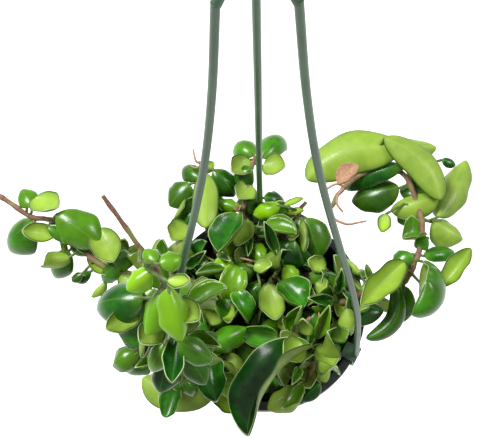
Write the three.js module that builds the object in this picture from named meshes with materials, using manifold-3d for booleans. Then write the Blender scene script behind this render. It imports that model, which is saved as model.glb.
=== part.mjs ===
// A compact, curled-leaf hoya in a black nursery pot, hung from a three-legged plastic hanger.
// Millimetres, +Z up. The stems' routes and every size are measured from the centre of the pot's rim
// plane, +X right and +Y away as the plant is seen, and the leaves' places are read in pixels of one
// view of it. The whole is then lowered so that the origin is the point of the hook that bears on
// what the plant hangs from.

import * as THREE from 'three';
import { mergeVertices } from 'three/addons/utils/BufferGeometryUtils.js';
import Module from 'manifold-3d';

const wasm = await Module();
wasm.setup();

// ---- driving dimensions -------------------------------------------------------------------------
const GAP = 0.35;               // clearance between pieces that touch on the real thing
const RIM_RADIUS = 57.5;        // outside of the rolled rim
const RIM_WIDTH = 5;            // flat ring on top of the rim
const RIM_SKIRT = 7;            // depth of the rim's turned-down edge
const POT_WALL = 1.3;
const POT_FLOOR = 1.6;
const POT_HEIGHT = 88;
const POT_BASE_RADIUS = 40;
const DRAIN_HOLES = 6;
const DRAIN_HOLE_RADIUS = 4;
const DRAIN_CIRCLE_RADIUS = 27;
const ROUND_SIDES = 32;         // facets round the pot and the soil

const SOIL_TOP = -12;
const SOIL_LUMP = 0.8;          // how far the soil's surface rises and falls
const ROOT_DEPTH = 8;           // how far each stem stands in its hole

const SHOULDER_HEIGHT = 290;    // where the hanger's legs turn in towards the hub
const HUB_HEIGHT = 300;
const HUB_RADIUS = 6;
const HOOK_RADIUS = 10;         // centre line of the hook's bow
const HOOK_ROD = 2.2;           // radius of the hook's rod
const HOOK_CENTRE = 323;
const BEARING_HEIGHT = HOOK_CENTRE + HOOK_RADIUS - HOOK_ROD;
const CLIP_WIDTH = 9;
const CLIP_DEPTH = 9;
const CLIP_THICKNESS = 1.4;

const LEAF_THICKNESS = 1.5;     // at the midrib, since the leaves are thick and waxy
const MARGIN_THICKNESS = 0.7;
const STALK_HALF = 1.0;         // half the width of a leaf's stalk
const STALK_ROOT = 0.4;         // how far the stalk runs past the stem's centre line
const LARGE_LEAF = 30;          // leaves at least this long get the finer grid
const SMALL_LEAF = 18;          // leaves shorter than this get the coarser one
const STEM_SIDES = 5;
// The smallest detail kept when leaves are joined, in order of choice.
const SLIVERS = [0.1, 0.09, 0.11, 0.08, 0.12, 0.07, 0.13, 0.06, 0.15, 0.05, 0.17, 0.04, 0.2, 0.03];
const WELD = 0.001;             // points closer than this are one

// ---- leaf forms ---------------------------------------------------------------------------------
// fold: slope of each half at the midrib, cup: how much more it turns towards the margin, both up
// when positive. curl: how far the midrib bends down towards the tip. twist: how far the section
// turns along the leaf. bend: how far the midrib swings to the left. All in degrees. The last value
// is how much wider the leaf is than it looks, since a domed leaf hides its margins.
const FORMS = {
  "bun": [-6, -72, 85, 0, 0, 1.52],
  "dome": [-4, -54, 52, 0, 0, 1.3],
  "tent": [-28, -34, 40, 0, 0, 1.3],
  "flat": [8, 12, 12, 0, 0, 1.0],
  "taco": [52, 34, -55, 0, 0, 1.0],
  "bowl": [12, 62, -30, 0, 0, 1.36],
  "cupped": [26, 46, -20, 15, 0, 1.42],
  "twist": [14, 46, 60, 70, 0, 1.2],
  "wave": [-10, -35, 50, 45, 0, 1.1],
  "scroll": [-10, -60, 125, 0, 0, 1.5],
  "hook": [-22, -34, 30, 10, -125, 1.0],
  "sweep": [22, 58, 12, 0, 66, 1.2],
  "sickle": [6, 36, -25, 0, 60, 1.06],
  "scythe": [6, 36, -25, 0, -60, 1.06]
};

// ---- the view that the leaves' places are read in -----------------------------------------------
const EYE = new THREE.Vector3(-1.264, -115.241, 440.081);  // millimetres from the rim's centre
const VIEW_RIGHT = new THREE.Vector3(0.99946, -0.02553, -0.02077);
const VIEW_UP = new THREE.Vector3(0.03127, 0.93349, 0.35724);
const VIEW_AHEAD = VIEW_UP.clone().cross(VIEW_RIGHT);
const VIEW_MIDDLE = [250, 219];  // pixels, from the view's top left corner
const FOCAL = 800.4;             // pixels
const AIM_START = 20;            // a leaf's length before it is brought to where its tip is seen
const AIM_ROUNDS = 8;            // how often its heading and length are corrected
const AIM_STEPS = 12;            // points along the midrib while it is corrected

// The point at a height above the rim that is seen at pixel (x, y).
function sighted(x, y, height) {
  const ray = VIEW_AHEAD.clone();
  ray.addScaledVector(VIEW_RIGHT, (x - VIEW_MIDDLE[0]) / FOCAL);
  ray.addScaledVector(VIEW_UP, (VIEW_MIDDLE[1] - y) / FOCAL);
  return EYE.clone().addScaledVector(ray, (height - EYE.z) / ray.z);
}

// ---- the leafy stems ----------------------------------------------------------------------------
// route: the stem's centre line from its root. thick: its diameter at the root and at the end.
// leaves: where the leaf's base and its tip are seen (x, y, x, y) and how wide it looks there, in
// pixels of the view; the height of its base above the rim, its elevation and its roll; its form, how
// young and lime-coloured it is, and a curl of its own where it has one.
const VINES = [
  { "name": "vine_left", "thick": [4, 2.6],
    "route": [[-29, 12, -20], [-29, 12, -8], [-38, 13, 8], [-52, 15, 15], [-66, 16, 15],
      [-80, 19, 13], [-92, 25, 12], [-104, 36, 12], [-117, 50, 14], [-131, 53, 15], [-144, 62, 16],
      [-156, 70, 17]],
    "leaves": [
      [34, 223, 10, 250, 36, 14, -5, 0, "bun", 0.1],
      [56, 234, 22, 231, 18, 19, 5, 185, "dome", 0.5],
      [32, 206, 22, 190, 19, 19, 10, 0, "dome", 0.25],
      [33, 200, 58, 207, 26, 20, 8, 195, "dome", 0.6],
      [48, 227, 74, 243, 13, 23, 0, 10, "dome", 0.15],
      [57, 214, 101, 244, 36, 27, 8, -10, "dome", 0.25],
      [76, 238, 92, 262, 22, 12, -10, 20, "bowl", 0],
      [60, 234, 70, 264, 13, 14, -15, 150, "taco", 0.7],
      [82, 205, 97, 224, 16, 17, 0, 0, "dome", 0],
      [98, 229, 113, 262, 28, 20, -5, 185, "dome", 0.3],
      [69, 251, 55, 277, 24, 10, -10, 0, "bun", 0.1],
      [72, 258, 94, 276, 16, 9, -5, 0, "dome", 0.05],
      [82, 274, 72, 281, 9, 8, 0, 0, "dome", 0.1],
      [119, 264, 103, 281, 18, 19, -5, 0, "bun", 0.1],
      [112, 257, 135, 262, 22, 22, 5, 0, "bun", 0.15],
      [120, 276, 136, 289, 16, 14, -5, 185, "dome", 0.5],
      [126, 268, 148, 281, 24, 12, 0, 0, "dome", 0.05],
      [90, 252, 112, 274, 20, 8, -5, 180, "dome", 0.4]
    ] },
  { "name": "vine_climber", "thick": [4.2, 1.7],
    "route": [[-34, -17, -20], [-34, -17, -8], [-36, -26, 12], [-41, -36, 34], [-45, -39, 58],
      [-46, -37, 80], [-44, -33, 100], [-41, -25, 119], [-43, -17, 126], [-46, -14, 130],
      [-49, -10, 135], [-55, -2, 144], [-62, 7, 152]],
    "leaves": [
      [160, 264, 189, 255, 28, 152, 12, 0, "dome", 0.45],
      [156, 262, 145, 250, 15, 146, 5, 0, "dome", 0.4],
      [151, 271, 127, 290, 27, 139, 0, 10, "tent", 0.95],
      [143, 298, 98, 308, 42, 118, 0, 0, "bun", 0],
      [140, 312, 106, 329, 22, 109, -5, 185, "dome", 0.3],
      [161, 290, 147, 335, 38, 130, -6, -14, "tent", 0.5],
      [168, 288, 181, 341, 34, 137, -8, 12, "tent", 0.65],
      [163, 324, 140, 343, 26, 113, 0, 185, "dome", 0.3],
      [149, 314, 142, 358, 22, 105, -5, 60, "taco", 0.1],
      [165, 344, 152, 371, 22, 100, 0, 0, "bun", 0.3],
      [177, 335, 172, 383, 23, 110, 0, 0, "bowl", 0],
      [178, 341, 212, 361, 24, 117, 0, 0, "dome", 0.15],
      [167, 281, 190, 281, 15, 147, 5, 185, "dome", 0.9],
      [150, 352, 128, 372, 26, 72, 0, 0, "bun", 0.1],
      [168, 362, 160, 392, 26, 66, -5, 0, "dome", 0],
      [186, 352, 206, 384, 24, 80, -5, 0, "dome", 0.1],
      [154, 290, 120, 324, 26, 114, -4, 0, "dome", 0.15],
      [174, 302, 199, 320, 24, 124, 0, 182, "dome", 0.4],
      [184, 354, 216, 334, 26, 88, 5, 0, "dome", 0.1]
    ] },
  { "name": "vine_front_left", "thick": [4, 2.4],
    "route": [[-19, -23, -20], [-19, -23, -8], [-24, -32, 8], [-31, -42, 18], [-36, -50, 20],
      [-37, -57, 16]],
    "leaves": [
      [215, 384, 143, 378, 43, 26, 2, 180, "sickle", 0.3],
      [196, 372, 168, 392, 26, 24, 5, 180, "dome", 0.35],
      [203, 352, 216, 402, 34, 28, -5, 0, "bowl", 0],
      [214, 392, 238, 412, 18, 9, 0, 185, "dome", 0.7],
      [226, 362, 243, 396, 26, 16, -5, 150, "tent", 0.3],
      [208, 346, 246, 328, 28, 27, 5, 0, "tent", 0.15],
      [205, 366, 186, 372, 24, 28, 5, 0, "bun", 0.1],
      [231, 353, 240, 398, 26, 14, 0, 182, "bowl", 0.3],
      [240, 402, 215, 411, 16, 8, 0, 185, "bowl", 0.6]
    ] },
  { "name": "vine_front", "thick": [4, 2.4],
    "route": [[8, -15, -20], [8, -15, -8], [14, -24, 8], [22, -29, 15], [25, -38, 13],
      [20, -48, 8]],
    "leaves": [
      [311, 346, 248, 436, 50, 26, 4, -48, "sweep", 0],
      [302, 343, 284, 358, 26, 26, 12, 192, "dome", 0.5],
      [252, 328, 263, 353, 24, 15, 5, -40, "cupped", 0.3],
      [266, 328, 290, 342, 24, 11, 0, 178, "dome", 0.15],
      [248, 345, 240, 366, 18, 12, 0, 0, "bun", 0.2],
      [252, 350, 264, 368, 24, 10, 0, 0, "dome", 0.6],
      [314, 350, 326, 382, 26, 12, -4, 182, "bowl", 0.3],
      [320, 344, 334, 366, 24, 15, -2, 184, "dome", 0.35],
      [302, 390, 268, 409, 26, 9, 2, 182, "bowl", 0.3],
      [320, 383, 298, 404, 18, 5, 5, 0, "dome", 0],
      [267, 346, 276, 366, 20, 10, 0, 180, "bowl", 0.5],
      [300, 366, 310, 388, 22, 8, 0, 182, "dome", 0.35],
      [262, 372, 256, 396, 22, 9, 0, 0, "dome", 0.1],
      [280, 366, 276, 388, 22, 6, 0, 0, "bun", 0.2]
    ] },
  { "name": "vine_right", "thick": [4.2, 2.4],
    "route": [[31, -6, -20], [31, -6, -8], [38, -4, 10], [50, 0, 17], [63, 4, 14], [76, 7, 12],
      [84, 17, 12], [91, 36, 14], [89, 55, 16], [82, 72, 18], [64, 74, 18], [48, 64, 17],
      [40, 52, 16]],
    "leaves": [
      [402, 150, 307, 180, 46, 29, 4, 187, "scythe", 0.4],
      [384, 139, 440, 200, 34, 33, 2, 180, "sickle", 0.3],
      [388, 148, 436, 148, 26, 16, 0, 178, "bowl", 0.4],
      [442, 160, 464, 169, 16, 8, 5, 0, "dome", 0],
      [438, 217, 466, 161, 32, 12, 4, 195, "bowl", 0.3],
      [438, 198, 391, 211, 28, 19, -2, 178, "bowl", 0.4],
      [402, 166, 344, 188, 24, 23, 0, -12, "bun", 0],
      [399, 188, 344, 204, 38, 14, 0, 0, "dome", 0.1],
      [428, 170, 410, 196, 28, 15, 5, 0, "bun", 0],
      [424, 196, 400, 190, 16, 14, 0, 0, "dome", 0.1],
      [386, 214, 382, 232, 13, 16, -10, 180, "dome", 0.9],
      [426, 234, 402, 238, 30, 13, -5, -35, "cupped", 0.2],
      [428, 238, 410, 250, 24, 17, 0, 0, "bun", 0.1],
      [432, 222, 462, 240, 32, 10, 0, 185, "bowl", 0.25],
      [424, 256, 454, 252, 16, 12, 5, 10, "dome", 0.05],
      [424, 262, 412, 314, 44, 18, 15, 110, "bun", 0.1, 140],
      [441, 287, 471, 248, 22, 13, 4, 190, "tent", 0.45],
      [374, 284, 366, 264, 14, 14, 10, 60, "taco", 0.2],
      [404, 262, 361, 305, 28, 20, 2, 185, "tent", 0.5],
      [384, 272, 360, 306, 20, 14, 0, 40, "tent", 0.6],
      [392, 280, 366, 338, 24, 21, -6, 0, "hook", 0.1],
      [404, 286, 402, 322, 22, 17, -5, -10, "dome", 0.1],
      [412, 254, 394, 268, 22, 15, 0, 0, "dome", 0.1],
      [420, 208, 398, 222, 24, 11, 0, 0, "dome", 0.05],
      [348, 292, 368, 308, 24, 9, 0, 0, "dome", 0.05],
      [350, 298, 338, 316, 22, 12, 0, 185, "dome", 0.4]
    ] },
  { "name": "vine_back_left", "thick": [3.8, 2.0],
    "route": [[-22, 27, -20], [-22, 27, -8], [-27, 36, 10], [-31, 48, 15], [-33, 60, 18],
      [-34, 71, 21], [-33, 80, 25]],
    "leaves": [
      [190, 184, 170, 206, 30, 19, 0, 0, "dome", 0.15],
      [186, 200, 174, 220, 22, 16, 0, 60, "cupped", 0.2],
      [205, 172, 217, 158, 16, 17, 15, 180, "dome", 0.7],
      [214, 170, 234, 196, 26, 21, 5, 0, "bun", 0.05],
      [206, 228, 205, 173, 28, 24, 10, 176, "flat", 0.55],
      [188, 222, 172, 240, 24, 14, 5, 185, "dome", 0.4],
      [192, 212, 182, 232, 14, 19, 0, 0, "dome", 0],
      [212, 214, 222, 246, 22, 17, -5, 20, "cupped", 0.6],
      [206, 198, 226, 214, 24, 15, 0, 0, "dome", 0.05],
      [200, 178, 184, 168, 20, 23, 5, 0, "bun", 0.1]
    ] },
  { "name": "vine_back_mid", "thick": [3.6, 2.0],
    "route": [[-4, 33, -20], [-4, 33, -8], [-7, 42, 8], [-10, 50, 13], [-8, 62, 15], [-5, 74, 18],
      [-2, 84, 21]],
    "leaves": [
      [254, 156, 238, 148, 22, 21, 15, 0, "scroll", 0.2],
      [250, 160, 232, 172, 22, 18, 5, 190, "dome", 0.25],
      [252, 168, 232, 186, 28, 22, 5, 0, "bun", 0.05],
      [252, 186, 238, 198, 22, 16, 0, 185, "dome", 0.3],
      [262, 158, 280, 146, 24, 21, 10, 0, "scroll", 0.1],
      [263, 166, 285, 166, 24, 18, 5, 182, "dome", 0.4],
      [240, 208, 216, 202, 16, 21, 8, 10, "tent", 0.3],
      [264, 198, 284, 202, 20, 14, 5, 0, "bun", 0],
      [240, 214, 218, 252, 34, 21, 3, -25, "bowl", 0],
      [248, 220, 232, 256, 30, 17, -5, 172, "dome", 0.2],
      [232, 226, 220, 250, 22, 13, 5, -30, "cupped", 0.7],
      [257, 195, 237, 211, 22, 15, 2, 0, "dome", 0.1]
    ] },
  { "name": "vine_back_right", "thick": [3.6, 2.0],
    "route": [[14, 27, -20], [14, 27, -8], [17, 36, 8], [20, 43, 13], [22, 50, 16], [26, 56, 18]],
    "leaves": [
      [280, 206, 244, 218, 24, 27, 4, 0, "bun", 0.95],
      [284, 206, 303, 198, 14, 22, 8, 120, "taco", 0.8],
      [286, 214, 304, 210, 14, 19, 8, 100, "taco", 0.7],
      [281, 230, 257, 236, 30, 11, 0, -22, "bowl", 0.05],
      [294, 212, 268, 217, 22, 12, 5, -35, "cupped", 0.1],
      [302, 220, 304, 258, 26, 15, 0, 80, "taco", 0.3],
      [306, 218, 320, 258, 34, 16, 0, -10, "dome", 0.15],
      [294, 226, 288, 250, 20, 19, 0, 180, "dome", 0.6],
      [300, 246, 318, 262, 24, 9, 0, 0, "dome", 0]
    ] },
  { "name": "vine_centre_left", "thick": [3.8, 2.2],
    "route": [[-26, -1, -20], [-26, -1, -8], [-24, 6, 8], [-18, 12, 13], [-12, 18, 15],
      [-6, 22, 15]],
    "leaves": [
      [252, 268, 224, 280, 26, 18, 5, 20, "scroll", 0.1],
      [250, 262, 244, 284, 16, 15, 0, 0, "dome", 0.05],
      [260, 284, 234, 308, 24, 17, -3, -10, "tent", 0.05],
      [218, 290, 226, 308, 20, 11, -5, 0, "dome", 0.7],
      [214, 262, 220, 286, 18, 16, 0, 60, "taco", 0.15],
      [206, 262, 200, 284, 26, 14, 0, 0, "bun", 0],
      [204, 284, 198, 322, 36, 12, -3, 0, "dome", 0],
      [214, 236, 206, 262, 24, 15, 0, 0, "dome", 0],
      [208, 258, 190, 270, 20, 12, 0, 0, "bun", 0.05],
      [242, 298, 226, 324, 28, 9, 0, -35, "cupped", 0.1]
    ] },
  { "name": "vine_centre", "thick": [3.8, 2.2],
    "route": [[6, 7, -20], [6, 7, -8], [6, 12, 8], [8, 16, 13], [12, 22, 15]],
    "leaves": [
      [294, 240, 276, 276, 36, 21, 2, 5, "bun", 0],
      [284, 266, 298, 284, 18, 21, 5, 0, "bun", 0.85],
      [266, 248, 258, 270, 18, 14, 0, 185, "dome", 0.35],
      [268, 284, 276, 320, 24, 16, -5, 182, "dome", 0.3],
      [280, 282, 304, 308, 36, 18, 0, 20, "bowl", 0.05],
      [298, 310, 290, 330, 22, 9, 0, 0, "bun", 0.1],
      [263, 321, 277, 337, 21, 7, 0, 0, "dome", 0.2]
    ] },
  { "name": "vine_centre_right", "thick": [3.8, 2.2],
    "route": [[24, 8, -20], [24, 8, -8], [27, 10, 8], [30, 8, 13], [34, 0, 14]],
    "leaves": [
      [300, 296, 316, 300, 18, 17, 5, 180, "dome", 0.5],
      [304, 284, 312, 292, 14, 19, 5, 180, "dome", 0.5],
      [310, 274, 350, 284, 26, 18, 2, 10, "tent", 0.15],
      [326, 268, 308, 260, 16, 17, 10, 190, "dome", 0.5],
      [314, 296, 341, 304, 30, 15, 0, 30, "cupped", 0.05],
      [334, 322, 344, 342, 26, 14, 5, 0, "bun", 0.7],
      [318, 312, 308, 352, 24, 14, -5, 10, "wave", 0.1],
      [292, 322, 304, 346, 24, 10, 0, 0, "dome", 0]
    ] }
];

// Undergrowth: small leaves in pairs low on each stem, which hide the soil between the large ones.
const UNDER_STEP = 15;           // millimetres of stem between pairs
const UNDER_REACH = 54;          // undergrowth stays this far from the pot's axis
const UNDER_TOP = 40;            // and below this height above the rim
const UNDER_FORMS = ["bun", "cupped", "bowl", "twist", "dome", "scroll"];

// ---- small helpers ------------------------------------------------------------------------------
const rad = THREE.MathUtils.degToRad;
const vec = (x, y, z) => new THREE.Vector3(x, y, z);
const UP = vec(0, 0, 1);
const deg = THREE.MathUtils.radToDeg;

// Seeded draws, so that every run grows the same plant.
function draws(seed) {
  let state = seed;
  return () => {
    state = (state * 16807) % 2147483647;
    return state / 2147483647;
  };
}

function geometryOf(points, faces) {
  const geometry = new THREE.BufferGeometry();
  const positions = points.flatMap((p) => [p.x, p.y, p.z]);
  geometry.setAttribute('position', new THREE.Float32BufferAttribute(positions, 3));
  geometry.setIndex(faces.flat());
  return geometry;
}

// A closed geometry as a solid that can be joined and cut.
function solidOf(geometry) {
  const bare = geometry.clone();
  bare.deleteAttribute('normal');
  bare.deleteAttribute('uv');
  const merged = mergeVertices(bare, 1e-4);
  const mesh = new wasm.Mesh({
    numProp: 3,
    vertProperties: new Float32Array(merged.attributes.position.array),
    triVerts: new Uint32Array(merged.index.array)
  });
  const solid = new wasm.Manifold(mesh);
  if (solid.volume() > 0) return solid;
  mesh.triVerts = mesh.triVerts.reverse();
  return new wasm.Manifold(mesh);
}

// The largest connected piece of a solid: loose scraps and sealed hollows are left behind.
function largestPiece(solid) {
  const pieces = solid.decompose();
  return pieces.reduce((best, piece) => (piece.volume() > best.volume() ? piece : best));
}

function geometryFrom(solid) {
  const mesh = solid.getMesh();
  const geometry = new THREE.BufferGeometry();
  geometry.setAttribute('position', new THREE.Float32BufferAttribute(mesh.vertProperties, 3));
  geometry.setIndex(Array.from(mesh.triVerts));
  return geometry;
}

// A solid in its final place, lowered so that the origin is the hook's bearing point, with points
// closer than the weld joined, and the scraps and sealed hollows that this leaves dropped.
function settled(solid) {
  const lowered = geometryFrom(solid).translate(0, 0, -BEARING_HEIGHT);
  const merged = mergeVertices(lowered, WELD);
  const mesh = new wasm.Mesh({
    numProp: 3,
    vertProperties: new Float32Array(merged.attributes.position.array),
    triVerts: new Uint32Array(merged.index.array)
  });
  return largestPiece(new wasm.Manifold(mesh));
}

// True where every edge of a welded solid borders just two faces.
function hasPlainEdges(solid) {
  const merged = mergeVertices(geometryFrom(solid), WELD);
  const corners = merged.index.array;
  const faces = new Map();
  for (let i = 0; i < corners.length; i += 1) {
    const next = i % 3 === 2 ? i - 2 : i + 1;
    const edge = [corners[i], corners[next]].sort((a, b) => a - b).join();
    faces.set(edge, (faces.get(edge) ?? 0) + 1);
  }
  return [...faces.values()].every((count) => count === 2);
}

const group = new THREE.Group();

function place(name, solid, colour, roughness) {
  const flat = geometryFrom(solid).toNonIndexed();
  flat.computeVertexNormals();
  const material = new THREE.MeshStandardMaterial({ color: colour, roughness, metalness: 0 });
  const mesh = new THREE.Mesh(flat, material);
  mesh.name = name;
  group.add(mesh);
}

// A closed tube through rings of equal length, each a list of points, capped at both ends.
function loft(rings) {
  const sides = rings[0].length;
  const points = rings.flat();
  const faces = [];
  for (let i = 0; i + 1 < rings.length; i += 1) {
    for (let j = 0; j < sides; j += 1) {
      const a = i * sides + j;
      const b = i * sides + ((j + 1) % sides);
      faces.push([a, b, b + sides], [a, b + sides, a + sides]);
    }
  }
  const last = (rings.length - 1) * sides;
  for (let j = 1; j + 1 < sides; j += 1) {
    faces.push([0, j + 1, j], [last, last + j, last + j + 1]);
  }
  return geometryOf(points, faces);
}

// A smooth line through points, with the same number of steps between each two.
function smoothLine(knots, steps) {
  const line = [];
  const at = (i) => {
    if (i < 0) return knots[0].clone().multiplyScalar(2).sub(knots[1]);
    if (i >= knots.length) return knots.at(-1).clone().multiplyScalar(2).sub(knots.at(-2));
    return knots[i];
  };
  for (let i = 0; i + 1 < knots.length; i += 1) {
    for (let k = 0; k < steps; k += 1) {
      const t = k / steps;
      const weights = [
        -0.5 * t ** 3 + t ** 2 - 0.5 * t,
        1.5 * t ** 3 - 2.5 * t ** 2 + 1,
        -1.5 * t ** 3 + 2 * t ** 2 + 0.5 * t,
        0.5 * t ** 3 - 0.5 * t ** 2
      ];
      const p = vec(0, 0, 0);
      weights.forEach((weight, j) => p.addScaledVector(at(i - 1 + j), weight));
      line.push(p);
    }
  }
  line.push(knots.at(-1).clone());
  return line;
}

// A rod along a line, its radius going from one value to another, with one side kept to a fixed
// direction so that it does not wind.
function rod(line, startRadius, endRadius, sides, keep) {
  const rings = line.map((centre, i) => {
    const before = line[Math.max(i - 1, 0)];
    const after = line[Math.min(i + 1, line.length - 1)];
    const along = after.clone().sub(before).normalize();
    const across = keep.clone().cross(along).normalize();
    const out = along.clone().cross(across);
    const radius = startRadius + ((endRadius - startRadius) * i) / (line.length - 1);
    const ring = [];
    for (let j = 0; j < sides; j += 1) {
      const turn = (2 * Math.PI * j) / sides;
      const p = centre.clone().addScaledVector(across, radius * Math.cos(turn));
      ring.push(p.addScaledVector(out, radius * Math.sin(turn)));
    }
    return ring;
  });
  return loft(rings);
}

// ---- leaves -------------------------------------------------------------------------------------
// Half the width along the leaf, 1 at the widest: a round base and a pointed tip.
function leafOutline(u) {
  const widest = 0.45;
  if (u < widest) return Math.sqrt(Math.max(0, 1 - (1 - u / widest) ** 2));
  return Math.max(0, 1 - ((u - widest) / (1 - widest)) ** 2.6) ** 0.56;
}

// Points of the leaf's middle surface with their upper normals, as rows along the midrib.
function leafSurface(leaf, rows, columns) {
  const [x, y, z, azimuth, elevation, roll, length, width, form, , ownCurl] = leaf;
  const [fold, cup, formCurl, twist, bend] = FORMS[form];
  const curl = ownCurl ?? formCurl;
  const ahead = vec(
    Math.cos(rad(elevation)) * Math.cos(rad(azimuth)),
    Math.cos(rad(elevation)) * Math.sin(rad(azimuth)),
    Math.sin(rad(elevation))
  );
  const upright = UP.clone().addScaledVector(ahead, -ahead.z).normalize();
  const left = upright.clone().cross(ahead);
  const above = upright.clone().multiplyScalar(Math.cos(rad(roll)));
  above.addScaledVector(left, Math.sin(rad(roll)));
  const side = above.clone().cross(ahead);
  const steps = 24;
  const position = vec(x, y, z);
  const surface = [];
  for (let i = 0; i <= steps; i += 1) {
    const u = i / steps;
    const down = -rad(curl) * u ** 1.3;
    const swing = rad(bend) * u;
    const level = ahead.clone().multiplyScalar(Math.cos(swing));
    level.addScaledVector(side, Math.sin(swing));
    const heading = level.clone().multiplyScalar(Math.cos(down));
    heading.addScaledVector(above, Math.sin(down));
    if (i > 0) position.addScaledVector(heading, length / steps);
    if ((i * rows) % steps !== 0) continue;
    const across = side.clone().multiplyScalar(Math.cos(swing));
    across.addScaledVector(ahead, -Math.sin(swing));
    const normal = above.clone().multiplyScalar(Math.cos(down));
    normal.addScaledVector(level, -Math.sin(down));
    const turn = rad(twist) * u;
    const out = across.clone().multiplyScalar(Math.cos(turn)).addScaledVector(normal, -Math.sin(turn));
    const lift = normal.clone().multiplyScalar(Math.cos(turn)).addScaledVector(across, Math.sin(turn));
    const half = (width / 2) * leafOutline(u);
    const row = [];
    for (let j = 0; j <= columns; j += 1) {
      const v = (2 * j) / columns - 1;
      const reach = Math.abs(v);
      const start = rad(fold);
      const open = rad(cup);
      const end = start + open * reach;
      const sideways = (half * (Math.sin(end) - Math.sin(start))) / open;
      const upward = (half * (Math.cos(start) - Math.cos(end))) / open;
      const point = position.clone().addScaledVector(out, Math.sign(v) * sideways);
      point.addScaledVector(lift, upward);
      const face = lift.clone().multiplyScalar(Math.cos(end));
      face.addScaledVector(out, -Math.sign(v) * Math.sin(end));
      row.push({ point, face, reach });
    }
    surface.push(row);
  }
  return surface;
}

// A leaf worked out from its row in the table: x, y, z of its base, azimuth, elevation, roll, length,
// width, form, youth and curl. The heading and the length are those that bring its tip where it is seen.
function readLeaf([baseX, baseY, tipX, tipY, look, height, elevation, roll, form, young, ownCurl]) {
  const base = sighted(baseX, baseY, height);
  const width = (FORMS[form][5] * look * base.distanceTo(EYE)) / FOCAL;
  let azimuth = 0;
  let length = AIM_START;
  for (let round = 0; round < AIM_ROUNDS; round += 1) {
    const trial = [base.x, base.y, base.z, azimuth, elevation, roll, length, width, form, young, ownCurl];
    const tip = leafSurface(trial, AIM_STEPS, 2)[AIM_STEPS][1].point;
    const goal = sighted(tipX, tipY, tip.z).sub(base);
    tip.sub(base);
    azimuth += deg(Math.atan2(goal.y, goal.x) - Math.atan2(tip.y, tip.x));
    length *= Math.hypot(goal.x, goal.y) / Math.hypot(tip.x, tip.y);
  }
  return [base.x, base.y, base.z, azimuth, elevation, roll, length, width, form, young, ownCurl];
}

// The point of a stem's centre line nearest to a leaf's base, kept a little short of the stem's end.
function nearestOn(line, base) {
  const spans = line.slice(1).map((end, i) => new THREE.Line3(line[i], end));
  const feet = spans.map((span) => {
    const most = 1 - STALK_HALF / span.distance();
    const t = Math.min(Math.max(span.closestPointToPointParameter(base, false), 0), most);
    return span.at(t, vec(0, 0, 0));
  });
  return feet.reduce((best, p) => (p.distanceTo(base) < best.distanceTo(base) ? p : best));
}

// A leaf as a closed blade, thick at the midrib and thinner at its blunt margin, on a flat stalk
// that starts inside the stem at the point nearest to the leaf's base.
function leafBlade(leaf, line, spare, bladeOnly = false) {
  const large = leaf[6] >= LARGE_LEAF;
  const small = leaf[6] < SMALL_LEAF;
  const smallRows = small ? 2 : 3;
  const rows = large ? 4 : smallRows;
  const columns = large ? 4 : 2;
  const surface = leafSurface(leaf, rows, columns);
  const base = vec(leaf[0], leaf[1], leaf[2]);
  const near = nearestOn(line, base);
  const first = surface[0][columns / 2].face;
  const ahead = surface[1][columns / 2].point.clone().sub(base).normalize();
  const side = first.clone().cross(ahead).normalize();
  const beyond = near.clone().sub(base).normalize().multiplyScalar(STALK_ROOT).add(near);
  const stalkRow = (centre, half) => surface[0].map((_, j) => ({
    point: centre.clone().addScaledVector(side, half * ((2 * j) / columns - 1)),
    face: first,
    reach: 0
  }));
  if (!bladeOnly) surface.splice(0, 1, stalkRow(beyond, 0), stalkRow(base, STALK_HALF));
  const last = surface.length - 1;
  const points = [];
  const sheet = (sign) => surface.map((row, i) => row.map((corner, j) => {
    const pointed = i === 0 || i === last;
    if (pointed && j > 0) return points.length - 1;
    const { point, face, reach } = pointed ? { ...row[columns / 2], reach: 1 } : corner;
    const depth = spare + LEAF_THICKNESS + (MARGIN_THICKNESS - LEAF_THICKNESS) * reach;
    points.push(point.clone().addScaledVector(face, (sign * depth) / 2));
    return points.length - 1;
  }));
  const top = sheet(1);
  const bottom = sheet(-1);
  const faces = [];
  const add = (a, b, c) => {
    if (a !== b && b !== c && c !== a) faces.push([a, b, c]);
  };
  for (let i = 0; i < last; i += 1) {
    for (let j = 0; j < columns; j += 1) {
      const quad = (s) => [s[i][j], s[i + 1][j], s[i + 1][j + 1], s[i][j + 1]];
      const [a, b, c, d] = quad(top);
      const [e, f, g, h] = quad(bottom);
      if ((i + j) % 2 === 0) {
        add(a, b, c);
        add(a, c, d);
        add(e, g, f);
        add(e, h, g);
      } else {
        add(a, b, d);
        add(b, c, d);
        add(e, h, f);
        add(f, h, g);
      }
    }
    add(top[i][0], bottom[i][0], bottom[i + 1][0]);
    add(top[i][0], bottom[i + 1][0], top[i + 1][0]);
    add(top[i][columns], bottom[i + 1][columns], bottom[i][columns]);
    add(top[i][columns], top[i + 1][columns], bottom[i + 1][columns]);
  }
  return solidOf(geometryOf(points, faces));
}

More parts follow.
